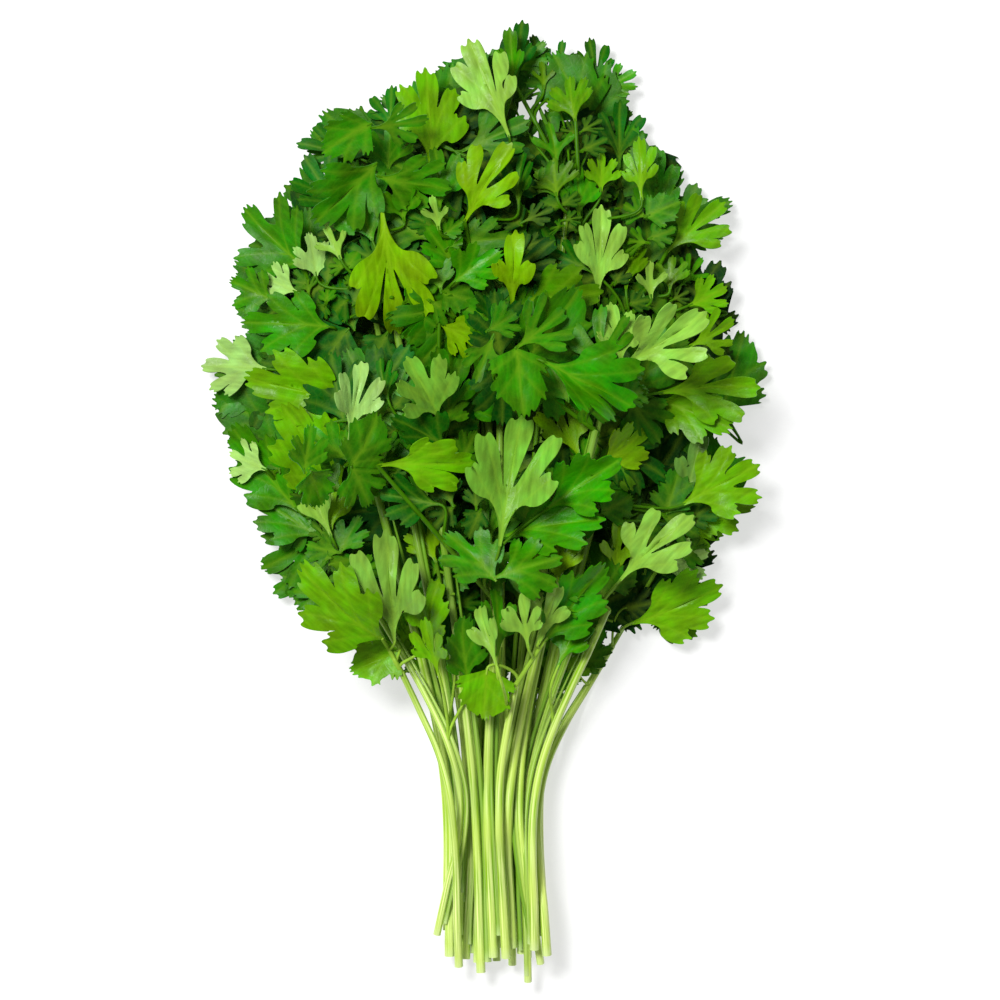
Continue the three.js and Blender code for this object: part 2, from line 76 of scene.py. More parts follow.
# %% Read the stalks
RING_GAP = 5 * MM
SAME_CORNER_DIGITS = 7


def corners_of(node):
    places = np.empty(len(node.data.vertices) * 3, np.float32)
    node.data.vertices.foreach_get("co", places)
    return places.reshape(-1, 3).astype(float)


def stalk_route(node):
    """The middles of a stalk's rings, from the cut end to the fork, and its radius."""
    places = np.unique(corners_of(node).round(SAME_CORNER_DIGITS), axis=0)
    places = places[np.argsort(places[:, 1])]
    breaks = np.flatnonzero(np.diff(places[:, 1]) > RING_GAP) + 1
    rings = np.split(places, breaks)
    middles = [Vector(ring.mean(axis=0)) for ring in rings]
    radius = np.linalg.norm(rings[0] - rings[0].mean(axis=0), axis=1).mean()
    return middles, float(radius)


NUMBERS = sorted(name.split("_")[1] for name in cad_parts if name.startswith("stem_"))
stalks = {number: stalk_route(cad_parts[f"stem_{number}"]) for number in NUMBERS}
print(len(stalks), "stalks, with", sum(len(route) for route, _ in stalks.values()), "rings")

# %% [markdown]
# ## Where the leaflets lie
# A leaf node is a thin branching tube with flat plates on it. All the triangles of one plate's upper side lie
# in one plane, even where another part cuts the plate, so sorting the upward triangles by plane finds them.
# A long hexagon with two short ends stands for one leaflet. A plate without such ends is a hand: three
# leaflets that spread from a palm. Each becomes a seat: a root, a direction, a length, a width and a facing.

# %% Sort each leaf's upward triangles by plane
SMALLEST_TRIANGLE = 1e-10
LEAST_UPWARD = 0.5
SAME_PLANE = 0.012 * MM


def upward_planes(node):
    """Groups of upward triangles that share a plane: its normal, its offset and the triangles' corners."""
    places = corners_of(node)
    triangles = places[np.array([tuple(face.vertices) for face in node.data.polygons])]
    crosses = np.cross(triangles[:, 1] - triangles[:, 0], triangles[:, 2] - triangles[:, 0])
    areas = np.linalg.norm(crosses, axis=1) / 2
    found = []
    for pick in np.argsort(-areas):
        if areas[pick] < SMALLEST_TRIANGLE:
            break
        normal = crosses[pick] / (2 * areas[pick])
        if normal[2] < LEAST_UPWARD:
            continue
        for plane in found:
            if np.abs(triangles[pick] @ plane["normal"] - plane["offset"]).max() < SAME_PLANE:
                break
        else:
            offset = float(triangles[pick][0] @ normal)
            plane = {"normal": normal, "offset": offset, "area": 0, "parts": []}
            found.append(plane)
        plane["area"] += areas[pick]
        plane["parts"].append(triangles[pick])
    return found


planes = {number: upward_planes(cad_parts[f"leaf_{number}"]) for number in NUMBERS}
print("upward planes:", sum(len(found) for found in planes.values()))

# %% Measure the hull of a plate
LEAST_HULL = 1e-9


def hull_of(plane):
    """The corners of a plate's hull as seen from above."""
    flat = [Vector(place[:2]) for part in plane["parts"] for place in part]
    return [flat[corner] for corner in convex_hull_2d(flat)]


def sides_of(hull):
    return zip(hull, hull[1:] + hull[:1])


def fill_of(plane, hull):
    """How much of its hull a plate fills: a leaflet all of it, a hand about four fifths."""
    around = sum(a.x * b.y - a.y * b.x for a, b in sides_of(hull)) / 2
    return plane["area"] * plane["normal"][2] / max(abs(around), LEAST_HULL)


def slimmest(hull):
    """The hull's least width."""
    least = math.inf
    for a, b in sides_of(hull):
        if (b - a).length > SAME_PLANE:
            side = (b - a).orthogonal().normalized()
            spread = [corner.dot(side) for corner in hull]
            least = min(least, max(spread) - min(spread))
    return least


print("corners of the first leaf's hulls:", [len(hull_of(plane)) for plane in planes[NUMBERS[0]]])

# %% Turn a single plate into a seat
SHORT_END, END_SLACK = 0.9 * MM, 0.03 * MM
PLATE_DEPTH = 0.8 * MM
TIP_SHOULDER = 0.35


def ends_of(hull):
    """Each short end of a hull: its middle, the way in, and how far in the hull's next corners are."""
    ends = []
    centre = sum(hull, Vector((0, 0))) / len(hull)
    for corner, (a, b) in enumerate(sides_of(hull)):
        if abs((b - a).length - SHORT_END) > END_SLACK:
            continue
        middle = (a + b) / 2
        inward = (b - a).orthogonal().normalized()
        if inward.dot(centre - middle) < 0:
            inward = -inward
        before, after = hull[corner - 1], hull[(corner + 2) % len(hull)]
        shoulder = ((before - middle).dot(inward) + (after - middle).dot(inward)) / 2
        ends.append((middle, inward, shoulder))
    return ends


def lifted(plane, flat):
    """The place in the plane above a flat place, half a plate lower than the upper side."""
    normal = plane["normal"]
    height = (plane["offset"] - normal[0] * flat.x - normal[1] * flat.y) / normal[2]
    return Vector((flat.x, flat.y, height - PLATE_DEPTH / 2))


def leaflet_seat(plane, root, tip, width, hand):
    """A leaflet's place on a plate. The leaflets of one hand carry that hand's number."""
    a, b = lifted(plane, root), lifted(plane, tip)
    ahead = (b - a).normalized()
    across = Vector(plane["normal"]).cross(ahead).normalized()
    return {"root": a, "tip": b, "ahead": ahead, "across": across, "up": ahead.cross(across),
            "length": (b - a).length, "width": width, "hand": hand}


def single_seat(plane, hull):
    """The seat of a plate that is one leaflet: its tip is the end with its shoulders close by."""
    middle, inward, shoulder = ends_of(hull)[0]
    far = max((corner - middle).dot(inward) for corner in hull)
    across = inward.orthogonal()
    width = 2 * max(abs((corner - middle).dot(across)) for corner in hull)
    other = middle + inward * far
    if shoulder / far < TIP_SHOULDER:
        return leaflet_seat(plane, other, middle, width, None)
    return leaflet_seat(plane, middle, other, width, None)


print("a short end is", round(SHORT_END / MM, 2), "mm wide, give or take", round(END_SLACK / MM, 2), "mm")

# %% Turn a hand into three seats
HAND_REACH, HAND_TAIL = 36, 9
FINGERS = [(0, 27, 0.82), (50, 24, 0.8), (-50, 24, 0.8)]


def hand_seats(plane, hull, hand):
    """The seats of a hand's fingers, and the end of its tail. A finger is a turn, a reach and a slimness."""
    areas = [np.linalg.norm(np.cross(part[1] - part[0], part[2] - part[0])) for part in plane["parts"]]
    middles = [part.mean(axis=0) for part in plane["parts"]]
    middle = Vector(np.average(middles, axis=0, weights=areas)[:2])
    tail = max(hull, key=lambda corner: (corner - middle).length)
    ahead = (middle - tail).normalized()
    scale = max((corner - tail).dot(ahead) for corner in hull) / HAND_REACH
    palm = tail + ahead * HAND_TAIL * scale
    seats = []
    for degrees, reach, slimness in FINGERS:
        turn = math.radians(degrees)
        way = Vector((ahead.x * math.cos(turn) - ahead.y * math.sin(turn),
                      ahead.x * math.sin(turn) + ahead.y * math.cos(turn)))
        tip = palm + way * reach * scale
        seats.append(leaflet_seat(plane, palm + way * MM, tip, slimness * reach * scale, hand))
    return seats, lifted(plane, tail)


print("a hand has", len(FINGERS), "fingers, turned by", [degrees for degrees, _, _ in FINGERS], "degrees")

# %% Read all the leaves
LEAST_CORNERS, SLIMMEST_PLATE = 4, 3 * MM
LEAST_FILL, HAND_FILL = 0.7, 0.87
STUBBY = 1.3


def held_near(seat, fork):
    """Turns a stubby leaflet round if its far end is the one nearer to the fork that holds it."""
    stubby = seat["length"] < STUBBY * seat["width"]
    if stubby and (seat["tip"] - fork).xy.length < (seat["root"] - fork).xy.length:
        return {**seat, "root": seat["tip"], "tip": seat["root"],
                "ahead": -seat["ahead"], "across": -seat["across"]}
    return seat


def is_plate(plane, hull):
    """Whether a plane is a plate's upper side, and not a facet of a bar or of an edge."""
    if len(hull) < LEAST_CORNERS or slimmest(hull) < SLIMMEST_PLATE:
        return False
    return fill_of(plane, hull) >= LEAST_FILL


def seats_on(found, fork):
    """Every leaflet's seat on a leaf's planes, and the place and direction in which each plate is held."""
    seats, holds = [], []
    for plane in found:
        hull = hull_of(plane)
        if not is_plate(plane, hull):
            continue
        if fill_of(plane, hull) > HAND_FILL:
            more = [held_near(single_seat(plane, hull), fork)]
            hold = more[0]["root"]
        else:
            more, hold = hand_seats(plane, hull, len(holds))
        for seat in more:
            seat["hold"] = len(holds)
        seats += more
        holds.append((hold, more[0]["ahead"]))
    return seats, holds


leaves = {number: seats_on(planes[number], stalks[number][0][-1]) for number in NUMBERS}
print("leaflets and plates:", {number: (len(seats), len(holds)) for number, (seats, holds) in leaves.items()})

# %% [markdown]
# ## The leaf stalks between the fork and the leaflets
# Above the fork a parsley leaf has a thin stalk that runs on to its farthest leaflet, and thinner side
# stalks that leave it like the twigs of a feather. In the solid they are straight bars. Here each is a smooth
# curve: it leaves its parent at a slant and arrives in line with the leaflet it holds. The main one's heights
# are felt with upright rays on the solid, as a needle would feel them. A few functions draw the curves now,
# and they are used once all the leaflets are known.

# %% Feel the main leaf stalk
UPRIGHT = Vector((0, 0, 1))
NEEDLE_START, NEEDLE_STEP = 1 * MM, 0.001 * MM
THINNEST_BAR, THICKEST_BAR = 1.4 * MM, 3.2 * MM
MAIN_STEPS = 3


def solid_mesh(node):
    return corners_of(node).tolist(), [tuple(face.vertices) for face in node.data.polygons]


def solid_heights(tree, place):
    """The middle heights of the thin solids on the upright line through a place."""
    start, hits = Vector((place.x, place.y, HIGH.z + NEEDLE_START)), []
    while True:
        hit, normal, _, _ = tree.ray_cast(start, -UPRIGHT)
        if hit is None:
            break
        hits.append((hit.z, normal.z > 0))
        start = hit - UPRIGHT * NEEDLE_STEP
    return [(top + low) / 2 for (top, out), (low, back) in zip(hits, hits[1:])
            if out and not back and THINNEST_BAR < top - low < THICKEST_BAR]


def main_route(tree, fork, end):
    """The route of the main leaf stalk from the fork to the leaflet at its end."""
    route = [fork]
    for step in range(1, MAIN_STEPS):
        guess = fork.lerp(end, step / MAIN_STEPS)
        felt = solid_heights(tree, guess)
        guess.z = min(felt, key=lambda height: abs(height - guess.z)) if felt else guess.z
        route.append(guess)
    return [*route, end]


print("the needle takes a solid for a bar from", THINNEST_BAR / MM, "to", THICKEST_BAR / MM, "mm")

# %% Draw smooth curves
HANDLE = 0.38


def swept(a, leave, arrive, b, count):
    """A smooth curve from a to b that sets out along one direction and arrives along another."""
    reach = HANDLE * (b - a).length
    c, d = a + leave * reach, b - arrive * reach
    curve = []
    for step in range(count):
        t = step / (count - 1)
        curve.append(a * (1 - t) ** 3 + c * 3 * t * (1 - t) ** 2 + d * 3 * t * t * (1 - t) + b * t ** 3)
    return curve


def through(places, count):
    """A smooth curve through all the places."""
    padded = [places[0] * 2 - places[1], *places, places[-1] * 2 - places[-2]]
    curve = []
    for step in range(count):
        at = step / (count - 1) * (len(places) - 1)
        pick = min(int(at), len(places) - 2)
        t = at - pick
        a, b, c, d = padded[pick:pick + 4]
        curve.append((b * 2 + (c - a) * t + (a * 2 - b * 5 + c * 4 - d) * t * t
                      + (b * 3 - a - c * 3 + d) * t ** 3) / 2)
    return curve


def place_on(route, part):
    """The place and the direction at a part of a route, from 0 to 1."""
    at = part * (len(route) - 1)
    pick = min(int(at), len(route) - 2)
    return route[pick].lerp(route[pick + 1], at - pick), (route[pick + 1] - route[pick]).normalized()


quarter = swept(Vector((0, 0, 0)), Vector((1, 0, 0)), UPRIGHT, Vector((1, 0, 1)), 9)
print("halfway, a quarter turn is at", [round(part, 2) for part in quarter[4]])

# %% Find the twigs of a leaf
MAIN_RADII, SIDE_RADII, FINGER_RADII = (0.95 * MM, 0.6 * MM), (0.55 * MM, 0.42 * MM), (0.42 * MM, 0.34 * MM)
MAIN_POINTS, SIDE_POINTS, LOW_POINTS, FINGER_POINTS = 26, 14, 10, 8
ROOT_RANGE, SLANT = (0.3, 0.92), 0.5
INTO_STALK, INTO_TWIG, RIB_REACH = 2 * MM, 0.5 * MM, 1.5 * MM
LOW_FORK, LOW_HOLD, STALK_BACK = -50 * MM, -46 * MM, Vector((0, 26, 3)) * MM


def nearest_stalk(place):
    """The stalk that passes nearest to a place, and the point where it does."""
    points = [((point - place).length, number, point) for number in NUMBERS for point in stalks[number][0]]
    return min(points, key=lambda entry: entry[:2])[1:]


def root_part(fork, end, target):
    """How far along the main stalk the side stalk to a target leaves it."""
    run = (end - fork).xy
    nearest = min(1, max(0, (target - fork).xy.dot(run) / run.length_squared))
    away = ((target - fork).xy - run * nearest).length
    return min(ROOT_RANGE[1], max(ROOT_RANGE[0], nearest - SLANT * away / run.length))


def branch_twigs(number, holds):
    """The main leaf stalk, and the side stalks that leave it for the other plates."""
    tree = BVHTree.FromPolygons(*solid_mesh(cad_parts[f"leaf_{number}"]))
    route = stalks[number][0]
    fork, onward = route[-1], (route[-1] - route[-2]).normalized()
    leader = max(range(len(holds)), key=lambda pick: (holds[pick][0] - fork).xy.length)
    if fork.y < LOW_FORK:
        leader = max(range(len(holds)), key=lambda pick: (holds[pick][0] - fork).dot(onward))
    end = holds[leader][0]
    curve = through([fork - onward * INTO_STALK, *main_route(tree, fork, end)], MAIN_POINTS)
    found = [(curve, MAIN_RADII)]
    for pick, (target, ahead) in enumerate(holds):
        if pick == leader:
            continue
        root, way = place_on(curve, root_part(fork, end, target))
        if target.y < LOW_HOLD and ahead.y > 0:
            root, way = nearest_stalk(target - STALK_BACK)[1], Vector((0, 1, 0))
        found.append((swept(root, way, ahead, target, SIDE_POINTS), SIDE_RADII))
    return found


def leaflet_twig(seat, holds):
    """The short stalk of one leaflet, which runs on into its midrib."""
    before, end = seat["root"] - seat["ahead"] * INTO_TWIG, seat["root"] + seat["ahead"] * RIB_REACH
    if "side" in seat:
        return [before, end], FINGER_RADII
    if "low" in seat:
        return swept(seat["stalk"], UPRIGHT, seat["ahead"], end, LOW_POINTS), FINGER_RADII
    hold, ahead = holds[seat["hold"]]
    start = before if seat["hand"] is None else hold
    return swept(start, ahead, seat["ahead"], end, FINGER_POINTS), FINGER_RADII


print("radius of a twig:", [round(radius / MM, 2) for radius in (*MAIN_RADII, *SIDE_RADII, *FINGER_RADII)])

# %% [markdown]
# ## The finishes of the leaflets
# In a bunch no two leaves have the same green. Old leaves are deep and bluish, young ones are yellow, and
# where a leaf shows its underside it is pale and dull. The greens below are named as a gardener would. Each
# leaflet on top is given its shape and its green one by one, and is found by the place of its tip, in
# millimetres from the middle of the bunch. The ones deep in the pile take theirs by chance.

# %% Name the greens
GAMMA = 2.2


def green(red, grass, blue):
    """A colour as it is seen, from 0 to 255, turned into the linear numbers that shaders use."""
    return tuple((part / 255) ** GAMMA for part in (red, grass, blue))


# The pale and light greens are partly a leaflet's own paler green and partly painted sheen, where a waxy leaf
# would shine.
GREENS = {
    "deep": green(14, 68, 0), "dark": green(22, 90, 0), "grass": green(50, 116, 0),
    "vivid": green(48, 120, 0), "bright": green(88, 144, 6), "light": green(118, 163, 60),
    "pale": green(140, 182, 94), "yellow": green(100, 146, 0), "olive": green(68, 116, 0),
    "grey": green(92, 136, 56), "sage": green(94, 143, 44),
}
print("greens:", *GREENS)

# %% Choose each top leaflet's look
LOOKS = {
    "10": [(18, 149, "narrow", "dark"), (34, 148, "deep", "dark"), (25, 147, "narrow", "dark"),
           (49, 138, "fan", "grass"), (20, 140, "narrow", "olive"), (12, 153, "narrow", "dark")],
    "11": [(-58, 116, "deep", "dark"), (-58, 108, "fan", "dark"), (-30, 132, "deep", "dark")],
    # Sprig 12's leaflets at the right edge take brighter greens as painted light, where they tilt away from
    # the lamp.
    "12": [(55, 113, "deep", "grass"), (71, 77, "deep", "vivid"), (79, 67, "fan", "bright"),
           (81, 56, "deep", "bright")],
    "13": [(-67, 50, "fan", "dark"), (-77, 91, "oval", "grass"), (-70, 71, "fan", "pale"),
           (-80, 69, "oval", "grass"), (-76, 57, "oval", "grass"), (-89, 44, "fan", "pale"),
           (-75, 37, "oval", "bright")],
    "14": [(28, 135, "fan", "olive"), (44, 128, "deep", "dark"), (22, 120, "narrow", "grass"),
           (30, 107, "fan", "grass"), (38, 111, "fan", "bright"), (49, 115, "deep", "bright"),
           (22, 108, "fan", "olive")],
    "15": [(-15, 137, "fan", "bright"), (8, 148, "narrow", "deep"), (-29, 120, "fan", "grass"),
           (11, 150, "narrow", "grass"), (12, 110, "deep", "dark"), (-15, 112, "fan", "grass"),
           (-2, 147, "deep", "light")],
    "16": [(-8, -29, "oval", "dark"), (-7, -10, "fan", "grass"), (12, -16, "fan", "dark"),
           (-20, -5, "fan", "yellow")],
    "17": [(-50, 70, "fan", "grass"), (-42, 107, "oval", "grass"), (-54, 85, "oval", "pale"),
           (-49, 87, "narrow", "light"), (-27, 101, "fan", "grass"), (-26, 52, "deep", "yellow")],
    "18": [(77, -13, "fan", "bright"), (88, -3, "oval", "bright"), (68, 22, "narrow", "grey"),
           (88, 13, "fan", "bright"), (53, 23, "fan", "yellow"), (22, 36, "deep", "yellow")],
    "19": [(22, 80, "fan", "dark"), (60, 78, "fan", "olive"), (47, 84, "fan", "olive"),
           (53, 76, "narrow", "light"), (38, 94, "deep", "light"), (77, 96, "deep", "bright")],
    "20": [(-73, 2, "fan", "grass"), (-82, 22, "oval", "grass"), (-80, 15, "fan", "pale"),
           (-63, 31, "oval", "bright"), (-46, 6, "fan", "yellow"), (-55, 7, "narrow", "light")],
    "21": [(2, 70, "oval", "dark"), (-18, 86, "fan", "grass"), (26, 68, "deep", "dark"),
           (16, 40, "fan", "grass"), (6, 80, "oval", "vivid"), (9, 85, "narrow", "yellow"),
           (-15, 96, "narrow", "light"), (11, 112, "deep", "yellow")],
    "22": [(-31, 24, "deep", "grass"), (-32, 45, "fan", "dark"), (10, 37, "fan", "vivid"),
           (1, 48, "fan", "yellow"), (-28, 28, "fan", "dark"), (-12, 49, "fan", "grass"),
           (-24, 45, "fan", "sage"), (-40, 44, "deep", "pale")],
    # The first leaflet here, at the right edge, takes a brighter green as painted light, where it tilts away
    # from the lamp.
    "23": [(80, 23, "oval", "bright"), (88, 38, "deep", "bright"), (41, 62, "fan", "light"),
           (70, 60, "deep", "light"), (47, 27, "fan", "vivid")],
    "24": [(72, -15, "fan", "pale"), (73, -36, "fan", "bright"), (78, -28, "fan", "bright")],
    "25": [(25, -10, "fan", "yellow"), (44, -5, "narrow", "yellow"), (65, -2, "deep", "light")],
    "26": [(-41, -55, "round", "bright"), (-12, -24, "fan", "bright"), (-27, -8, "deep", "light"),
           (-42, -19, "narrow", "light"), (-60, -21, "oval", "bright")],
    "27": [(-32, 2, "fan", "dark"), (40, -4, "fan", "vivid"), (44, 14, "fan", "vivid"),
           (-32, 11, "deep", "bright"), (11, 28, "deep", "sage")],
    "28": [(-7, -36, "oval", "grass"), (-18, -36, "deep", "bright"), (33, -34, "deep", "grass"),
           (6, -27, "deep", "grass"), (41, -20, "oval", "vivid"), (26, -25, "narrow", "light"),
           (12, -28, "deep", "light"), (0, -33, "narrow", "light"), (0, -69, "round", "bright")],
}
# Mostly deep and dark: partly the older green of lower leaflets, partly painted shade of the pile.
LOW_GREENS = ["deep", "deep", "dark", "dark", "grass", "olive"]
LOW_SHAPES = ["fan", "oval", "deep", "oval", "round"]


def give_looks(number, seats):
    """Puts a shape and a green on every seat: from the list where the tip is named, else by chance."""
    free = [seat for seat in seats if seat["hand"] is None]
    for x, y, shape, tone in LOOKS.get(number, []):
        place = Vector((x, y)) * MM
        nearest = min(free, key=lambda seat: (seat["tip"].xy - place).length)
        nearest["shape"], nearest["green"], nearest["named"] = shape, tone, True
        free.remove(nearest)
    for seat in seats:
        seat.setdefault("shape", chance.choice(LOW_SHAPES))
        seat.setdefault("green", chance.choice(LOW_GREENS))


for number, (seats, _) in leaves.items():
    give_looks(number, seats)
print("named leaflets:", sum("named" in seat for seats, _ in leaves.values() for seat in seats))

# %% [markdown]
# ## The outline of a leaflet
# A parsley leaflet is a wedge that opens into lobes like fingers, and each lobe ends in a few round teeth.
# One side of the outline is a walk from the base to the tip: along the wedge, out to the lowest lobe, round
# its teeth, back into the notch, and on to the next lobe. The other side is the same walk mirrored, with its
# own small chances, so no leaflet is even. Each tooth is rounded with a short curve. Scattered copies of one
# drawn leaf would be lighter, but the rows of equal teeth would show.

# %% The lobes of five kinds of leaflet
# The wedge is a few places along and aside. A lobe says how far along the midrib its vein begins, where it
# ends, how wide half of it is, its teeth, and the notch that parts it from the next. Places aside are in
# halves of the width. Everything else is in lengths of the leaflet.
WEDGES = {
    "deep": [(0.16, 0.08), (0.32, 0.30)],
    "fan": [(0.13, 0.10), (0.27, 0.38)],
    "oval": [(0.09, 0.14), (0.19, 0.42)],
    "round": [(0.05, 0.26), (0.11, 0.56)],
    "narrow": [(0.18, 0.14), (0.36, 0.42)],
}
LOBES = {
    "deep": [(0.14, 0.55, 0.96, 0.074, 2, (0.47, 0.50)), (0.20, 0.80, 0.82, 0.084, 2, (0.38, 0.08)),
             (0.48, 1.00, 0.00, 0.105, 3, None)],
    "fan": [(0.10, 0.52, 0.95, 0.095, 3, (0.50, 0.60)), (0.24, 0.80, 0.78, 0.105, 3, (0.58, 0.19)),
            (0.48, 1.00, 0.00, 0.118, 3, None)],
    "oval": [(0.08, 0.42, 0.92, 0.105, 3, (0.44, 0.64)), (0.24, 0.73, 0.82, 0.115, 3, (0.57, 0.28)),
             (0.48, 1.00, 0.00, 0.135, 5, None)],
    "round": [(0.06, 0.34, 0.96, 0.150, 4, (0.55, 0.86)), (0.24, 0.72, 0.80, 0.150, 3, (0.84, 0.42)),
              (0.48, 1.00, 0.00, 0.150, 5, None)],
    "narrow": [(0.20, 0.66, 0.92, 0.092, 2, (0.46, 0.18)), (0.48, 1.00, 0.00, 0.115, 3, None)],
}
print("teeth on the rim:", {shape: sum(2 * lobe[4] for lobe in lobes[:-1]) + lobes[-1][4]
                            for shape, lobes in LOBES.items()})

# %% Walk round one lobe
# The edges of a lobe and its teeth are places behind its end and aside, in half widths of the lobe.
OUTER_EDGE, INNER_EDGE = [(3.0, 0.8), (1.5, 1.05)], [(1.5, 1.0), (2.8, 0.8)]
TOOTH_ASIDE, TOOTH_BACK, TOOTH_OUT, NOTCH_ASIDE, NOTCH_BACK = 1.2, 1.25, 0.25, 1.1, 1.2
NOTCH_DEPTH = (0.35, 0.75)
JITTER, JITTER_ASIDE, TOOTH_JITTER = 0.022, 0.8, 0.4
LOBE_LUCK, PARTING_LUCK = (0.85, 1.15), (0.8, 1.2)


def jittered(along, aside):
    return Vector((along + chance.uniform(-JITTER, JITTER),
                   aside + chance.uniform(-JITTER, JITTER) * JITTER_ASIDE))


def rim_teeth(end, ahead, out, wide, teeth, middle):
    """The points and the notches of a lobe's teeth. The middle lobe's walk stops at its middle tooth."""
    steps = []
    for tooth in range(teeth):
        aslant = 1 - (2 * tooth + 1) / teeth
        if middle and aslant <= 0:
            break
        point = end + out * wide * TOOTH_ASIDE * aslant - ahead * wide * TOOTH_BACK * aslant * aslant
        steps.append(point + ahead * wide * TOOTH_OUT + jittered(0, 0) * TOOTH_JITTER)
        between = aslant - 1 / teeth
        if tooth < teeth - 1:
            back = wide * (NOTCH_BACK * between * between + chance.uniform(*NOTCH_DEPTH))
            steps.append(end + out * wide * NOTCH_ASIDE * between - ahead * back)
    return steps


def lobe_steps(lobe, half, whole):
    """The walk round one lobe, from its outer edge over its teeth to its inner edge, and its vein.

    A whole leaflet has no fingers: its lobes are only rows of teeth on the rim."""
    begin, along, aside, wide, teeth, notch = lobe
    middle = notch is None
    end = Vector((1, 0)) if middle else jittered(along, aside * half)
    ahead = (end - Vector((begin, 0))).normalized()
    out = Vector((-ahead.y, ahead.x))
    wide *= chance.uniform(*LOBE_LUCK)
    outer = [end - ahead * wide * back + out * wide * side for back, side in OUTER_EDGE]
    inner = [end - ahead * wide * back - out * wide * side for back, side in INNER_EDGE]
    steps = [] if whole else outer
    steps += rim_teeth(end, ahead, out, wide, teeth, middle)
    if middle:
        return steps, None
    steps += [] if whole else inner
    steps.append(jittered(notch[0], notch[1] * half * chance.uniform(*PARTING_LUCK)))
    return steps, (Vector((begin, 0)), end)


print("a notch between teeth is", NOTCH_DEPTH, "half widths of the lobe deep")

# %% Walk round a whole leaflet
BASE_HALF = 0.5 * MM
MOST_SWAY = 0.12
TIP_LIFT = 1.02
VEIN_BEND = (0.6, 0.4)
VEIN_AT, MIDRIB_AT = (0, 0.25, 0.5, 0.75, 0.94), (0.02, 0.33, 0.8, 0.94)


def softened(places, passes):
    """The path with its corners cut off again and again, which rounds every tooth and every notch."""
    for _ in range(passes):
        inner = []
        for a, b in zip(places, places[1:]):
            inner += [a.lerp(b, 0.25), a.lerp(b, 0.75)]
        places = [places[0], *inner, places[-1]]
    return places


def mirrored(line):
    return [Vector((place.x, -place.y)) for place in line]


def side_of(shape, length, half):
    """One side of the outline, before its corners are softened, and its veins, in metres."""
    steps, veins = [Vector((along, aside * half / length)) for along, aside in WEDGES[shape]], []
    for lobe in LOBES[shape]:
        more, vein = lobe_steps(lobe, half / length, shape == "round")
        steps += more
        veins += [vein] if vein else []
    edge = [Vector((0, BASE_HALF)), *[place * length for place in steps]]
    ribs = []
    for start, end in veins:
        bend = Vector((start.x + (end.x - start.x) * VEIN_BEND[0], end.y * VEIN_BEND[1]))
        ribs.append([start.lerp(bend, t).lerp(bend.lerp(end, t), t) * length for t in VEIN_AT])
    return edge, ribs


def outline_of(shape, length, width, passes):
    """The closed outline, anticlockwise from the base, and the veins, the midrib first."""
    left, left_veins = side_of(shape, length, width / 2)
    right, right_veins = side_of(shape, length, width / 2)
    right, right_veins = mirrored(right), [mirrored(vein) for vein in right_veins]
    outline = softened([*right, Vector((length * TIP_LIFT, 0)), *reversed(left)], passes)
    starts = {vein[0].x for vein in left_veins + right_veins}
    stops = sorted({at * length for at in MIDRIB_AT} | starts)
    lines = [outline, [Vector((along, 0)) for along in stops], *left_veins, *right_veins]
    sway = chance.uniform(-MOST_SWAY, MOST_SWAY) / length
    swayed = [[Vector((place.x, place.y + sway * place.x * place.x)) for place in line] for line in lines]
    return swayed[0], swayed[1:]


print("a tip sways by up to", MOST_SWAY, "of its leaflet's length")

# %% Cut every leaflet's outline
STRETCH_WIDE = {"deep": 0.98, "narrow": 1.04, "fan": 1.1, "oval": 1.1, "round": 1.12}
FINE, COARSE = 2, 1


def cut(seat):
    """Gives a leaflet its outline and its veins."""
    width = seat["width"] * STRETCH_WIDE[seat["shape"]]
    passes = FINE if "named" in seat else COARSE
    seat["outline"], seat["veins"] = outline_of(seat["shape"], seat["length"], width, passes)


for seats, _ in leaves.values():
    for seat in seats:
        cut(seat)
print("corners of all outlines:", sum(len(seat["outline"]) for seats, _ in leaves.values() for seat in seats))

# %% [markdown]
# ## Which squares of the table are covered
# The solid has one plate for each leaflet on top. A real bunch has many more leaflets below them. To place
# these, the script needs to know where the bunch already hides the table, seen from above. It lays a grid of
# small squares over the table and marks the ones under a leaflet. Rays shot at the meshes would tell the
# same, but the outlines are known before any mesh is made.

# %% Lay the squares
SQUARE, MARGIN = 2 * MM, 10 * MM
COLUMNS = np.arange(LOW.x - MARGIN, HIGH.x + MARGIN, SQUARE)
ROWS = np.arange(LOW.y, HIGH.y + MARGIN, SQUARE)


def inside(points, outline):
    """Which points lie inside a closed outline."""
    a = np.array(outline)
    b = np.roll(a, -1, axis=0)
    x, y = points[:, :1], points[:, 1:]
    spans = (a[:, 1] > y) != (b[:, 1] > y)
    slope = (b[:, 0] - a[:, 0]) / np.where(b[:, 1] == a[:, 1], 1, b[:, 1] - a[:, 1])
    return (spans & (x < a[:, 0] + (y - a[:, 1]) * slope)).sum(axis=1) % 2 == 1


def squares_under(seat, size=1):
    """The rows and the columns of the squares that a leaflet covers, or that a part of its size covers."""
    middle = Vector((seat["length"] / 2, 0)) * (1 - size)
    places = [place * size + middle for place in seat["outline"]]
    ring = [seat["root"] + seat["ahead"] * place.x + seat["across"] * place.y for place in places]
    flat = np.array([(place.x, place.y) for place in ring])
    low, high = flat.min(axis=0), flat.max(axis=0)
    columns = np.flatnonzero((COLUMNS > low[0]) & (COLUMNS < high[0]))
    rows = np.flatnonzero((ROWS > low[1]) & (ROWS < high[1]))
    picks = np.array([(row, column) for row in rows for column in columns], int).reshape(-1, 2)
    picks = picks[inside(np.stack([COLUMNS[picks[:, 1]], ROWS[picks[:, 0]]], axis=1), flat)]
    return picks[:, 0], picks[:, 1]


covered = np.zeros((len(ROWS), len(COLUMNS)), bool)


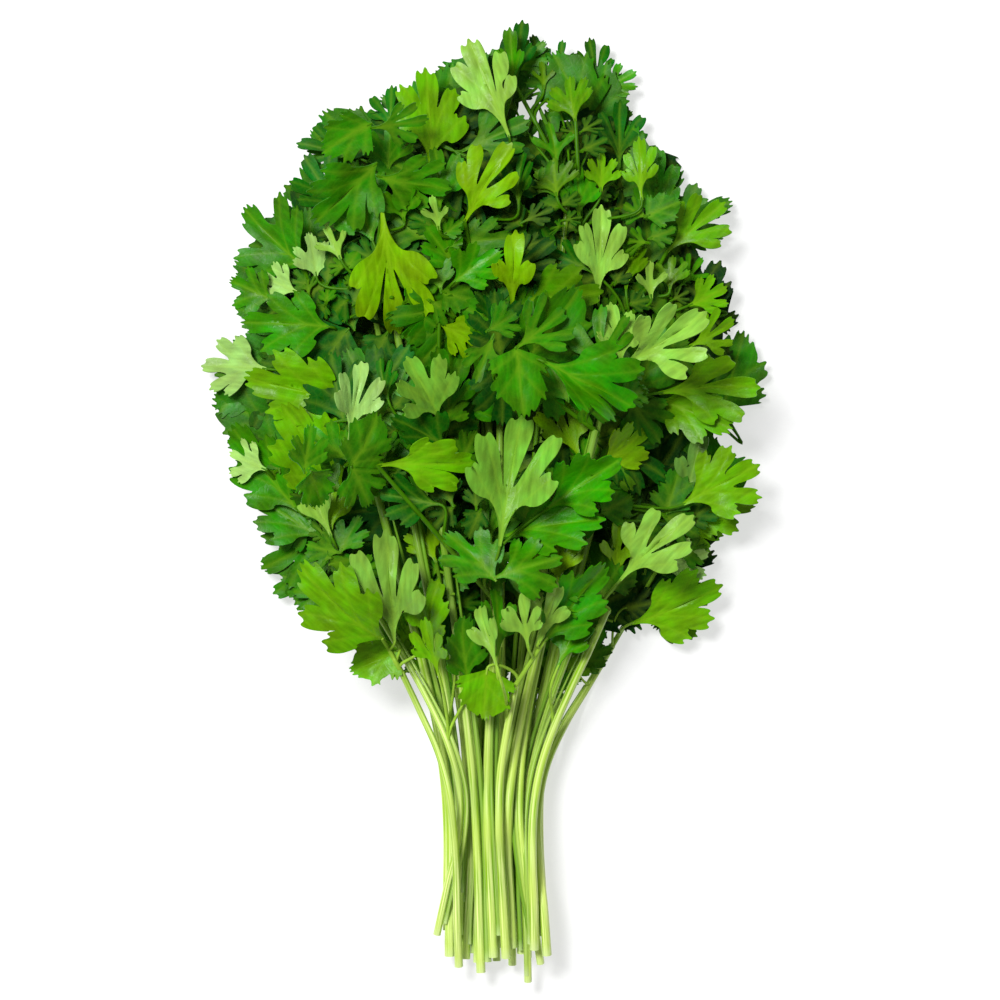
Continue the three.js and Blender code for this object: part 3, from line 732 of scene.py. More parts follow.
def mark_covered(size):
    covered[:] = False
    for seats, _ in leaves.values():
        for seat in seats:
            covered[squares_under(seat, size)] = True
    return int(covered.sum())


print("covered squares:", mark_covered(1), "of", covered.size)

# %% Find the squares of the crown
CLOSED_WITHIN = 5
CROWN_FOOT, RAGGED = -58 * MM, 5 * MM
STALK_ROOM, STALK_STEPS = 2.2 * MM, 8


def enclosed(marked):
    """Squares that are marked, or have a marked square near them on all four sides."""
    closed = np.ones_like(marked)
    for axis in (0, 1):
        for sign in (1, -1):
            near = marked.copy()
            for step in range(1, CLOSED_WITHIN + 1):
                near |= np.roll(marked, sign * step, axis=axis)
            closed &= near
    return closed


under_stalks = np.zeros_like(covered)
above_foot = ROWS[:, None] > CROWN_FOOT + RAGGED * np.sin(COLUMNS[None] / RAGGED)
for route, _ in stalks.values():
    for a, b in zip(route, route[1:]):
        for step in range(STALK_STEPS):
            place = a.lerp(b, step / STALK_STEPS)
            near = (abs(COLUMNS[None] - place.x) < STALK_ROOM) & (abs(ROWS[:, None] - place.y) < STALK_ROOM)
            under_stalks |= near & above_foot
crown = enclosed(covered | under_stalks)
print("squares of the crown:", int(crown.sum()))

# %% [markdown]
# ## Smaller leaflets behind each leaflet
# A parsley leaf carries its leaflets in pairs on side stalks, so behind each one on top stand two or four
# more, lower and turned aside. They lie in its shadow, and their next darker green is painted shade for it.
# The ones that would stick out of the crown are left out, because the outline of the bunch belongs to the
# solid.

# %% Stand pairs of leaflets behind the ones on top
FIRST_PAIR = {"turn": (45, 68), "back": (0.18, 0.32), "size": (0.5, 0.72), "drop": 3.2 * MM}
SECOND_PAIR = {"turn": (60, 85), "back": (0.55, 0.75), "size": (0.42, 0.6), "drop": 5 * MM}
HAND_PAIR = {"turn": (80, 100), "back": (0.2, 0.34), "size": (0.6, 0.8), "drop": 3 * MM}
MM_BELOW = 2.4
SIDE_SLIMNESS = (0.72, 0.95)
LOWEST_Z = LOW.z + 1.5 * MM
# Each green's next darker one: painted shade for the leaflets that stand behind and below.
SHADED_GREENS = {"pale": "grass", "light": "grass", "yellow": "grass", "bright": "grass", "vivid": "grass",
          "grey": "dark", "sage": "grass", "grass": "dark", "olive": "dark", "dark": "deep", "deep": "deep"}


def side_leaflet(seat, sign, pair):
    """One of two smaller leaflets that stand behind a leaflet, a little lower."""
    turn = math.radians(chance.uniform(*pair["turn"])) * sign
    back = seat["length"] * chance.uniform(*pair["back"])
    root = seat["root"] - seat["ahead"] * back - seat["up"] * MM_BELOW * MM
    way = seat["ahead"] * math.cos(turn) + seat["across"] * math.sin(turn)
    length = seat["length"] * chance.uniform(*pair["size"])
    tip = root + way * length - seat["up"] * pair["drop"]
    root.z, tip.z = max(root.z, LOWEST_Z), max(tip.z, LOWEST_Z)
    ahead = (tip - root).normalized()
    across = seat["up"].cross(ahead).normalized()
    return {"root": root, "tip": tip, "ahead": ahead, "across": across, "up": ahead.cross(across),
            "width": length * chance.uniform(*SIDE_SLIMNESS), "length": length, "hand": seat["hand"],
            "side": sign, "shape": chance.choice(LOW_SHAPES), "green": SHADED_GREENS[seat["green"]]}


def pairs_behind(seats):
    """Two pairs behind each single leaflet, and one pair behind each hand."""
    middle_fingers = {}
    for seat in seats:
        middle_fingers.setdefault(seat["hand"], seat)
    made = []
    for seat in seats:
        if seat["shape"] == "round":
            continue
        if seat["hand"] is None:
            made += [side_leaflet(seat, sign, pair) for pair in (FIRST_PAIR, SECOND_PAIR) for sign in (1, -1)]
        elif middle_fingers[seat["hand"]] is seat:
            made += [side_leaflet(seat, sign, HAND_PAIR) for sign in (1, -1)]
    return made


print("behind a leaflet:", FIRST_PAIR["turn"], "and", SECOND_PAIR["turn"], "degrees aside")

# %% Keep the ones that stay inside the crown
# A curled rim may leave a gap, so a leaflet surely covers only the squares under its middle part.
WITHIN, LOWEST_SIDE = 0.9, -38 * MM
SURE = 0.82


def within(seat):
    """How much of a leaflet lies inside the crown."""
    squares = crown[squares_under(seat)]
    return squares.mean() if len(squares) else 0


def side_leaflets(seats):
    kept = []
    for side in pairs_behind(seats):
        if side["root"].y >= LOWEST_SIDE:
            cut(side)
            kept += [side] if within(side) > WITHIN else []
    return kept


for seats, _ in leaves.values():
    seats += side_leaflets(seats)
print("leaflets:", sum(len(seats) for seats, _ in leaves.values()), "on squares:", mark_covered(SURE))

# %% [markdown]
# ## The undergrowth
# From above, a real bunch shows no table between its leaves: deep inside, leaflets lie everywhere in shade.
# So wherever a square of the crown is still bare, one leaflet goes low down over it, in a dark green that is
# darkened further with painted shade for its depth. At the foot of the crown, where the stalks come out, it
# is a small green one. Of a few tries the one that stays inside the crown best is taken. Scattering leaflets
# everywhere would also close the openings, but it would take many times more of them.

# %% Shape a low leaflet
FILL_LENGTH, FILL_WIDTH = 24 * MM, 21 * MM
FILL_HEIGHTS, FILL_RISE = (4.5 * MM, 9 * MM), (0, 0.12)
BEFORE_PLACE = 0.6
NECK = Vector((0, -95, 0)) * MM
LEAFY_FOOT = -34 * MM
FILL_SPREAD, FILL_SHAPES = 0.8, ["oval", "round"]
FOOT_SPREAD, FOOT_SIZE, FOOT_SHAPES = 0.45, 0.6, ["fan", "deep", "oval"]
FOOT_GREENS = ["grass", "bright", "olive"]


def low_leaflet(place, size):
    """A leaflet low down, over a place, pointing away from the neck."""
    foot = place.y < LEAFY_FOOT
    spread, size = (FOOT_SPREAD, FOOT_SIZE) if foot else (FILL_SPREAD, size)
    turn = math.atan2(place.y - NECK.y, place.x - NECK.x) + chance.uniform(-spread, spread)
    ahead = Vector((math.cos(turn), math.sin(turn), chance.uniform(*FILL_RISE))).normalized()
    height = LOW.z + chance.uniform(*FILL_HEIGHTS)
    root = Vector((place.x, place.y, height)) - ahead * FILL_LENGTH * size * BEFORE_PLACE
    across = UPRIGHT.cross(ahead).normalized()
    seat = {"root": root, "tip": root + ahead * FILL_LENGTH * size, "ahead": ahead, "across": across,
            "up": ahead.cross(across), "length": FILL_LENGTH * size, "width": FILL_WIDTH * size,
            "hand": None, "low": foot, "shape": chance.choice(FOOT_SHAPES if foot else FILL_SHAPES),
            "green": chance.choice(FOOT_GREENS if foot else LOW_GREENS)}
    cut(seat)
    return seat


print("a low leaflet is", round(FILL_LENGTH / MM), "mm long, and at the foot it has", FOOT_SIZE, "of that")

# %% Fill the openings near the table
TRIES, SMALLER = 8, 0.55
MOSTLY_WITHIN, SMALLER_WITHIN, FOOT_WITHIN = 0.8, 0.66, 0.93


def best_try(place, size):
    return max((low_leaflet(place, size) for _ in range(TRIES)), key=within)


def undergrowth():
    """Lays low leaflets over the bare squares, and counts both."""
    closed = enclosed(covered | under_stalks)
    crown[closed] = True
    bare = closed & ~covered & above_foot
    added = 0
    for row, column in np.argwhere(bare):
        if covered[row, column]:
            continue
        place = Vector((COLUMNS[column], ROWS[row], 0))
        seat = best_try(place, 1)
        if within(seat) < MOSTLY_WITHIN:
            seat = best_try(place, SMALLER)
        if within(seat) < (FOOT_WITHIN if seat["low"] else SMALLER_WITHIN):
            continue
        number, seat["stalk"] = nearest_stalk(seat["root"])
        leaves[number][0].append(seat)
        covered[squares_under(seat, SURE)] = True
        added += 1
    return int(bare.sum()), added


print("bare squares and leaflets laid over them:", undergrowth())

# %% [markdown]
# ## Cutting the leaflets from flat sheet
# Each outline is filled with small triangles, with extra corners along the veins so that these can sink in as
# clean creases. A constrained Delaunay triangulation does that: it keeps the edges it is given and makes the
# rest even. All leaflets of a leaf lie flat on top of each other in one mesh, and every corner carries what
# its leaflet needs to grow into place: root, directions, bend, fold and green.

# %% Fill an outline with triangles
TOP_SPACING, LOW_SPACING = 0.85 * MM, 1.5 * MM
ROW_STEP, GRID_JITTER = 0.87, 0.12
FROM_RIM, FROM_VEIN = 0.45, 0.4
SHORTEST_RUN, SAME_PLACE = 1e-14, 1e-7


def distances(points, lines):
    """How far each point is from the nearest stretch of the lines."""
    a = np.array([line[pick] for line in lines for pick in range(len(line) - 1)])
    b = np.array([line[pick + 1] for line in lines for pick in range(len(line) - 1)])
    run = b - a
    offset = points[:, None, :] - a[None]
    t = np.clip((offset * run).sum(axis=2) / np.maximum((run * run).sum(axis=1), SHORTEST_RUN), 0, 1)
    return np.linalg.norm(offset - t[..., None] * run, axis=2).min(axis=1)


def grid_inside(ring, ribs, spacing):
    """Places in staggered rows inside an outline, clear of its rim and its veins."""
    low, high = np.min(ring, axis=0), np.max(ring, axis=0)
    rows = np.arange(low[1], high[1], spacing * ROW_STEP)
    grid = np.array([(x + spacing / 2 * (row % 2), y) for row, y in enumerate(rows)
                     for x in np.arange(low[0], high[0], spacing)])
    grid += np.array([(chance.uniform(-1, 1), chance.uniform(-1, 1)) for _ in grid]) * spacing * GRID_JITTER
    grid = grid[inside(grid, ring)]
    grid = grid[distances(grid, [ring + ring[:1]]) > spacing * FROM_RIM]
    return grid[distances(grid, ribs) > spacing * FROM_VEIN]


def sheet_of(outline, veins, spacing):
    """A flat leaflet's corners and triangles, and each corner's distance to a vein and to the midrib."""
    ring = [tuple(place) for place in outline]
    ribs = [[tuple(place) for place in vein] for vein in veins]
    edges = [(pick, (pick + 1) % len(ring)) for pick in range(len(ring))]
    start = len(ring)
    for rib in ribs:
        edges += [(start + pick, start + pick + 1) for pick in range(len(rib) - 1)]
        start += len(rib)
    places = [*ring, *[place for rib in ribs for place in rib], *grid_inside(ring, ribs, spacing)]
    corners = [Vector(place) for place in places]
    made = delaunay_2d_cdt(corners, edges, [list(range(len(ring)))], 1, SAME_PLACE)
    flat = np.array([tuple(place) for place in made[0]])
    return flat, [tuple(face) for face in made[2]], distances(flat, ribs), distances(flat, ribs[:1])


print("corners lie", TOP_SPACING / MM, "mm apart on top and", LOW_SPACING / MM, "mm apart below")

# %% [markdown]
# ## How each leaflet is bent
# A leaflet arches from its root to its tip, folds a little along the midrib, and its lobes curl up or down.
# The ones on top are freer, so they bend more. The amounts are numbers per leaflet here. The bending itself
# is done further on, by the node tree. Cloth simulation could drop the leaflets on each other, but a leaf is
# stiff, and the pile would no longer follow the solids.

# %% Give each leaflet its bends
LEAST_EASE = 0.35
ARCH, BACKWARD_ARCH, ARCHED_UP = (6, 30), -0.6, 0.8
FREE_FOLD, HELD_FOLD = (0.15, 0.95), (0.06, 0.4)
DROOP, WAVE, LUCK = (-6, 30), (2.0, 4.2), (0, 50)
HELD_BELOW, FREE_OVER = 0.12, 0.5


def freedom(seat):
    """How near the top of the pile a leaflet lies: 0 deep in it, 1 on top."""
    height = (seat["root"].z + seat["tip"].z) / 2
    return min(1, max(0, (height / HIGH.z - HELD_BELOW) / FREE_OVER))


def bends_for(seat):
    ease = LEAST_EASE + (1 - LEAST_EASE) * freedom(seat)
    arch = chance.uniform(*ARCH) * ease
    folds = FREE_FOLD if "named" in seat and seat["shape"] != "round" else HELD_FOLD
    return {
        "fold": chance.uniform(*folds) * ease,
        "arch": arch if chance.random() < ARCHED_UP else arch * BACKWARD_ARCH,
        "droop": chance.uniform(*DROOP) * ease,
        "wave": chance.uniform(*WAVE) * MM * ease,
        "luck": chance.uniform(*LUCK),
    }


free = [freedom(seat) for seats, _ in leaves.values() for seat in seats]
print("a leaflet's freedom is on average", round(sum(free) / len(free), 2))

# %% Shade each leaflet
RIM_REACH, RIM_SHARE = 11 * MM, 0.78
# Painted light: at the rim the deep, dark and olive greens become grass green, as the light reaches it from
# the side.
RIM_LIT_GREENS = {"deep": "grass", "dark": "grass", "olive": "grass"}
SHADE_LUCK, RIM_SHADE = (0.84, 1.12), 0.85
# Painted shade: a buried leaflet's green is darkened by how deep it lies.
DEEPEST_SHADE, FREE_SHADE = 0.44, 0.5


def at_rim(seat):
    """Whether a leaflet's tip is near the edge of the crown, where the light reaches it from the side."""
    row = np.abs(ROWS - seat["tip"].y) < RIM_REACH
    column = np.abs(COLUMNS - seat["tip"].x) < RIM_REACH
    return crown[row][:, column].mean() < RIM_SHARE


def tint_of(seat):
    """A leaflet's green. Deep in the pile it is darkened as painted shade, and at the rim it is lighter as
    painted light from the side.
    """
    shade, tone = chance.uniform(*SHADE_LUCK), seat["green"]
    if "named" not in seat and at_rim(seat):
        # painted light at the rim: a lighter green and no depth shade
        shade, tone = shade * RIM_SHADE, RIM_LIT_GREENS.get(tone, tone)
    elif "named" not in seat and not seat.get("low"):
        # painted shade, darker the deeper the leaflet lies
        shade *= DEEPEST_SHADE + FREE_SHADE * freedom(seat)
    return (*[part * shade for part in GREENS[tone]], 1)


rims = [at_rim(seat) for seats, _ in leaves.values() for seat in seats if "named" not in seat]
print("lower leaflets at the rim:", sum(rims), "of", len(rims))

# %% Gather what the corners of leaflets and twigs carry
VEIN_HALF, MIDRIB_HALF, MIDRIB_FADE = 0.45 * MM, 0.55 * MM, 0.8
FLOATS = ["arch", "fold", "droop", "wave", "luck", "vein", "rib", "reach", "thick"]
VECTORS = ["root", "ahead", "across", "upward"]
TWIG_GREENS = green(146, 186, 60), green(62, 110, 6)
PALE_BELOW, LEAFY_ABOVE = -60 * MM, -10 * MM


def leaflet_facts(seat, flat, to_vein, to_midrib):
    """What every corner of a leaflet carries, by name."""
    same = {**bends_for(seat), "reach": seat["length"], "thick": 0, "root": tuple(seat["root"]),
            "ahead": tuple(seat["ahead"]), "across": tuple(seat["across"]), "upward": tuple(seat["up"])}
    facts = {name: [value] * len(flat) for name, value in same.items()}
    fading = 1 - MIDRIB_FADE * flat[:, 0] / seat["length"]
    facts["vein"] = list(np.exp(-(to_vein / VEIN_HALF) ** 2))
    facts["rib"] = list(np.exp(-(to_midrib / MIDRIB_HALF) ** 2) * fading)
    return facts


def twig_facts(points, first, last):
    """What the corners of a twig carry: its thickness, and nothing of a leaflet."""
    facts = {name: [0] * len(points) for name in FLOATS}
    facts.update({name: [(0, 0, 0)] * len(points) for name in VECTORS})
    facts["thick"] = [first + (last - first) * pick / (len(points) - 1) for pick in range(len(points))]
    return facts


def twig_tint(point):
    """The green of a twig: pale like the stalks low in the bunch and leaf-green in the crown."""
    near, far = TWIG_GREENS
    part = min(1, max(0, (point.y - PALE_BELOW) / (LEAFY_ABOVE - PALE_BELOW)))
    return (*[a + (b - a) * part for a, b in zip(near, far)], 1)


print("each corner carries", len(FLOATS), "numbers,", len(VECTORS), "directions or places, and a tint")

# %% Lay every leaf out flat
def mesh_with_facts(name, corners, edges, faces, facts, tints):
    mesh = bpy.data.meshes.new(name)
    mesh.from_pydata(corners, edges, faces)
    for key in FLOATS:
        mesh.attributes.new(key, "FLOAT", "POINT").data.foreach_set("value", facts[key])
    for key in VECTORS:
        mesh.attributes.new(key, "FLOAT_VECTOR", "POINT").data.foreach_set("vector", np.ravel(facts[key]))
    mesh.attributes.new("tint", "FLOAT_COLOR", "POINT").data.foreach_set("color", np.ravel(tints))
    return mesh


def flat_leaf(number):
    """One mesh with all leaflets of a leaf, flat, and its twigs, and their facts on every corner."""
    seats, holds = leaves[number]
    corners, edges, faces, tints = [], [], [], []
    facts = {name: [] for name in FLOATS + VECTORS}
    for seat in seats:
        spacing = TOP_SPACING if "named" in seat else LOW_SPACING
        flat, triangles, to_vein, to_midrib = sheet_of(seat["outline"], seat["veins"], spacing)
        for name, values in leaflet_facts(seat, flat, to_vein, to_midrib).items():
            facts[name] += values
        faces += [tuple(corner + len(corners) for corner in face) for face in triangles]
        corners += [(x, y, 0) for x, y in flat]
        tints += [tint_of(seat)] * len(flat)
    for points, (first, last) in branch_twigs(number, holds) + [leaflet_twig(seat, holds) for seat in seats]:
        for name, values in twig_facts(points, first, last).items():
            facts[name] += values
        edges += [(len(corners) + pick, len(corners) + pick + 1) for pick in range(len(points) - 1)]
        corners += [tuple(point) for point in points]
        tints += [twig_tint(point) for point in points]
    return mesh_with_facts(f"flat_leaf_{number}", corners, edges, faces, facts, tints)


flat_leaves = {number: flat_leaf(number) for number in NUMBERS}
print("flat triangles:", sum(len(mesh.polygons) for mesh in flat_leaves.values()))

# %% [markdown]
# ## Working with node trees
# The bends, the stalks and the finishes are all node trees. These few helpers add a node, feed its inputs and
# hand back its result, so that a tree reads like a sum.

# %% Helpers that write any node tree
def add_node(tree, kind, inputs=(), **settings):
    """Adds a node with its settings, and feeds each input with a value or another node's result."""
    made = tree.nodes.new(kind)
    for name, value in settings.items():
        setattr(made, name, value)
    for key, value in dict(inputs).items():
        if isinstance(value, bpy.types.NodeSocket):
            tree.links.new(value, made.inputs[key])
        else:
            made.inputs[key].default_value = value
    return made


def sums(tree, operation, *values):
    """A sum on numbers."""
    return add_node(tree, "ShaderNodeMath", enumerate(values), operation=operation).outputs[0]


def arrows(tree, operation, *values, scale=None):
    """A sum on directions and places."""
    inputs = dict(enumerate(values))
    if scale is not None:
        inputs["Scale"] = scale
    return add_node(tree, "ShaderNodeVectorMath", inputs, operation=operation).outputs[0]


print("made the helpers that add a node, a sum on numbers and a sum on arrows")

# %% Helpers for geometry trees
def fact(tree, name, kind="FLOAT"):
    """Reads what a corner carries."""
    return add_node(tree, "GeometryNodeInputNamedAttribute", {"Name": name}, data_type=kind).outputs[0]


def keep_fact(tree, shape, name, value, kind="FLOAT", domain="POINT"):
    """Puts something new on every corner or face of a shape."""
    inputs = {"Geometry": shape, "Name": name, "Value": value}
    stored = add_node(tree, "GeometryNodeStoreNamedAttribute", inputs, data_type=kind, domain=domain)
    return stored.outputs[0]


def joined(tree, *parts):
    join = tree.nodes.new("GeometryNodeJoinGeometry")
    for part in parts:
        tree.links.new(part, join.inputs[0])
    return join.outputs[0]


def new_tree(name, sizes):
    """A geometry tree with named inputs. Gives back the tree, its inputs by name and its way out."""
    tree = bpy.data.node_groups.new(name, "GeometryNodeTree")
    tree.interface.new_socket("Shape", in_out="INPUT", socket_type="NodeSocketGeometry")
    for label, value in sizes.items():
        socket = tree.interface.new_socket(label, in_out="INPUT", socket_type="NodeSocketFloat")
        socket.default_value = value
    tree.interface.new_socket("Finish", in_out="INPUT", socket_type="NodeSocketMaterial")
    tree.interface.new_socket("Shape", in_out="OUTPUT", socket_type="NodeSocketGeometry")
    return tree, tree.nodes.new("NodeGroupInput").outputs, tree.nodes.new("NodeGroupOutput").inputs


def finish_tree(tree, shape, ways_in, way_out):
    """Ends a tree: what it made becomes real faces and takes its finish."""
    real = add_node(tree, "GeometryNodeRealizeInstances", {0: shape}).outputs[0]
    dressed = add_node(tree, "GeometryNodeSetMaterial", {"Geometry": real, "Material": ways_in["Finish"]})
    tree.links.new(dressed.outputs[0], way_out[0])
    return tree


def grown(name, mesh, tree, finish, **sizes):
    """Runs a tree on a mesh and gives back the result as a plain object."""
    seed = bpy.data.objects.new(name + "_seed", mesh)
    bpy.context.scene.collection.objects.link(seed)
    modifier = seed.modifiers.new("grow", "NODES")
    modifier.node_group = tree
    values = {**sizes, "Finish": finish}
    for item in tree.interface.items_tree:
        if item.in_out == "INPUT" and item.name in values:
            modifier[item.identifier] = values[item.name]
    ready = seed.evaluated_get(bpy.context.evaluated_depsgraph_get())
    piece = bpy.data.objects.new(name, bpy.data.meshes.new_from_object(ready))
    bpy.data.objects.remove(seed)
    bpy.context.scene.collection.objects.link(piece)
    return piece


print("made the helpers that start a geometry tree, end it and run it")

# %% [markdown]
# ## The tree that bends the leaflets
# A leaflet starts flat. The tree lifts each corner by a height: the fold along the midrib, the droop of the
# sides, two sizes of crumple, and the creases of the veins. Then it lays the strip on an arch from root to
# tip and turns it into its place. The arch keeps its chord, so the tip still lies where the solid says. Last,
# the sheet gets its real thickness. Modifiers such as Simple Deform would need an object for every leaflet.

# %% Lift the corners above the flat sheet
SOFT_FOLD = 1.6 * MM
STEADY_BASE, STEADY_BLEND = 9 * MM, 0.3
BROAD_CRUMPLE, FINE_CRUMPLE = 13 * MM, 4 * MM


def crumple(tree, place, size, detail):
    """Smooth noise from -1 to 1, with a pattern of its own on each leaflet."""
    inputs = {"Vector": place, "W": fact(tree, "luck"), "Scale": 1 / size, "Detail": detail}
    noise = add_node(tree, "ShaderNodeTexNoise", inputs, noise_dimensions="4D")
    return sums(tree, "MULTIPLY_ADD", noise.outputs[0], 2, -1)


def height_above_sheet(tree, ways_in, place, along, aside):
    """Fold, droop, crumple and creases together. Near its base a leaflet stays flat."""
    square = sums(tree, "MULTIPLY", aside, aside)
    fold_round = sums(tree, "SQRT", sums(tree, "ADD", square, SOFT_FOLD ** 2))
    folded = sums(tree, "MULTIPLY", fact(tree, "fold"), sums(tree, "SUBTRACT", fold_round, SOFT_FOLD))
    drooped = sums(tree, "MULTIPLY_ADD", sums(tree, "MULTIPLY", square, fact(tree, "droop")), -1, folded)
    free = sums(tree, "SMOOTH_MIN", sums(tree, "DIVIDE", along, STEADY_BASE), 1, STEADY_BLEND)
    broad = sums(tree, "MULTIPLY", crumple(tree, place, BROAD_CRUMPLE, 0), fact(tree, "wave"))
    fine = sums(tree, "MULTIPLY", crumple(tree, place, FINE_CRUMPLE, 1), ways_in["Crinkle"])
    crumpled = sums(tree, "MULTIPLY_ADD", sums(tree, "ADD", broad, fine), free, drooped)
    crease = sums(tree, "MULTIPLY", fact(tree, "vein"), ways_in["Vein depth"])
    return sums(tree, "SUBTRACT", crumpled, crease)


print("a leaflet crumples in waves of", BROAD_CRUMPLE / MM, "and", FINE_CRUMPLE / MM, "mm")

# %% Lay the sheet on its arch
def on_arch(tree, along, aside, height):
    """The corner's place once its strip is bent to an arch that stands on its chord."""
    bend, reach = fact(tree, "arch"), fact(tree, "reach")
    half = sums(tree, "MULTIPLY", sums(tree, "MULTIPLY", bend, reach), 0.5)
    turn = sums(tree, "SUBTRACT", half, sums(tree, "MULTIPLY", bend, along))
    sine, cosine = sums(tree, "SINE", turn), sums(tree, "COSINE", turn)
    forth = sums(tree, "DIVIDE", sums(tree, "SUBTRACT", sums(tree, "SINE", half), sine), bend)
    rise = sums(tree, "DIVIDE", sums(tree, "SUBTRACT", cosine, sums(tree, "COSINE", half)), bend)
    forth = sums(tree, "SUBTRACT", forth, sums(tree, "MULTIPLY", height, sine))
    rise = sums(tree, "MULTIPLY_ADD", height, cosine, rise)
    place = fact(tree, "root", "FLOAT_VECTOR")
    for name, size in [("ahead", forth), ("across", aside), ("upward", rise)]:
        step = arrows(tree, "SCALE", fact(tree, name, "FLOAT_VECTOR"), scale=size)
        place = arrows(tree, "ADD", place, step)
    return place


print("each corner moves along", VECTORS[1:], "from its leaflet's", VECTORS[0])

# %% Give the sheet its thickness and the twigs their section
WELDED = 0.001 * MM
TWIG_SIDES, TWIG_RIBS, TWIG_RIB_DEPTH = 10, 5, 0.1


def thick_sheet(tree, ways_in, sheet):
    """Gives the sheet its thickness: a lifted copy, a rim, and the sheet itself turned over."""
    raised = add_node(tree, "GeometryNodeExtrudeMesh",
                      {"Mesh": sheet, "Offset Scale": ways_in["Thickness"], "Individual": False}).outputs
    rim = {"Geometry": raised["Mesh"], "Selection": raised["Side"], "Shade Smooth": False}
    upper = add_node(tree, "GeometryNodeSetShadeSmooth", rim).outputs[0]
    lower = add_node(tree, "GeometryNodeFlipFaces", {"Mesh": sheet}).outputs[0]
    lower = keep_fact(tree, lower, "under", 1.0, domain="FACE")
    merge = {"Geometry": joined(tree, upper, lower), "Distance": WELDED}
    return add_node(tree, "GeometryNodeMergeByDistance", merge).outputs[0]


def ribbed_ring(tree, sides, ribs, depth):
    """The section of a stalk: a circle with blunt ribs, which also keeps the way round as a fact."""
    ring = add_node(tree, "GeometryNodeCurvePrimitiveCircle", {"Resolution": sides, "Radius": 1.0}).outputs[0]
    part = add_node(tree, "GeometryNodeSplineParameter").outputs[0]
    angle = sums(tree, "MULTIPLY", part, 2 * math.pi)
    size = sums(tree, "MULTIPLY_ADD", sums(tree, "COSINE", sums(tree, "MULTIPLY", angle, ribs)), depth, 1)
    round_way = {0: sums(tree, "COSINE", angle), 1: sums(tree, "SINE", angle)}
    around = add_node(tree, "ShaderNodeCombineXYZ", round_way).outputs[0]
    ring = keep_fact(tree, ring, "around", around, "FLOAT_VECTOR")
    place = arrows(tree, "SCALE", add_node(tree, "GeometryNodeInputPosition").outputs[0], scale=size)
    return add_node(tree, "GeometryNodeSetPosition", {"Geometry": ring, "Position": place}).outputs[0]


def tube_along(tree, line, ring, size):
    """A smooth closed tube: a ring swept along a line, as thick as the line says at each point."""
    inputs = {"Curve": line, "Profile Curve": ring, "Scale": size, "Fill Caps": True}
    tube = add_node(tree, "GeometryNodeCurveToMesh", inputs).outputs[0]
    return add_node(tree, "GeometryNodeSetShadeSmooth", {"Geometry": tube}).outputs[0]


print("a twig has", TWIG_SIDES, "sides and", TWIG_RIBS, "ribs")

# %% Build the leaflet tree
def leaflet_tree():
    sizes = {"Thickness": 0.3 * MM, "Crinkle": 0.35 * MM, "Vein depth": 0.14 * MM}
    tree, ways_in, way_out = new_tree("leaflets", sizes)
    thick = fact(tree, "thick")
    parts = {"Geometry": ways_in["Shape"], "Selection": sums(tree, "GREATER_THAN", thick, 0)}
    split = add_node(tree, "GeometryNodeSeparateGeometry", parts).outputs
    place = add_node(tree, "GeometryNodeInputPosition").outputs[0]
    along, aside, _ = add_node(tree, "ShaderNodeSeparateXYZ", {0: place}).outputs
    flat = keep_fact(tree, split["Inverted"], "flat", place, "FLOAT_VECTOR")
    height = height_above_sheet(tree, ways_in, place, along, aside)
    bent = {"Geometry": flat, "Position": on_arch(tree, along, aside, height)}
    sheet = add_node(tree, "GeometryNodeSetPosition", bent).outputs[0]
    sheet = add_node(tree, "GeometryNodeSetShadeSmooth", {"Geometry": sheet}).outputs[0]
    lines = add_node(tree, "GeometryNodeMeshToCurve", {"Mesh": split["Selection"]}).outputs[0]
    ring = ribbed_ring(tree, TWIG_SIDES, TWIG_RIBS, TWIG_RIB_DEPTH)
    tubes = keep_fact(tree, tube_along(tree, lines, ring, thick), "woody", 1.0, domain="FACE")
    return finish_tree(tree, joined(tree, thick_sheet(tree, ways_in, sheet), tubes), ways_in, way_out)


LEAFLETS = leaflet_tree()
print("nodes in the leaflet tree:", len(LEAFLETS.nodes))

# %% [markdown]
# ## The tree that grows the stalks
# A parsley stalk is a juicy rod with blunt ribs along it, a little thicker at the cut than at the fork. The
# tree draws a smooth curve through the route's points and sweeps a ribbed ring along it. The distance from
# the cut and the way round are kept on the surface, so that the finish can run its streaks along the stalk.
# A curve object with a bevel would be as round, but it has no ribs and carries no such facts.

# %% Build the stalk tree
STALK_POINTS = 56
STALK_SIDES, STALK_RIBS, STALK_RIB_DEPTH = 20, 7, 0.05


def stalk_tree():
    sizes = {"Radius": 1.6 * MM, "At the cut": 0.95, "At the fork": 0.7}
    tree, ways_in, way_out = new_tree("stalk", sizes)
    line = add_node(tree, "GeometryNodeMeshToCurve", {"Mesh": ways_in["Shape"]}).outputs[0]
    smooth = add_node(tree, "GeometryNodeCurveSplineType", {"Curve": line}, spline_type="CATMULL_ROM")
    even = add_node(tree, "GeometryNodeResampleCurve", {"Curve": smooth.outputs[0], "Count": STALK_POINTS})
    walked = add_node(tree, "GeometryNodeSplineParameter").outputs
    line = keep_fact(tree, even.outputs[0], "run", walked["Length"])
    ends = {"Value": walked["Factor"], "To Min": ways_in["At the cut"], "To Max": ways_in["At the fork"]}
    taper = add_node(tree, "ShaderNodeMapRange", ends).outputs[0]
    size = sums(tree, "MULTIPLY", sums(tree, "MULTIPLY", ways_in["Radius"], fact(tree, "size")), taper)
    ring = ribbed_ring(tree, STALK_SIDES, STALK_RIBS, STALK_RIB_DEPTH)
    return finish_tree(tree, tube_along(tree, line, ring, size), ways_in, way_out)


STALK = stalk_tree()
print("nodes in the stalk tree:", len(STALK.nodes))

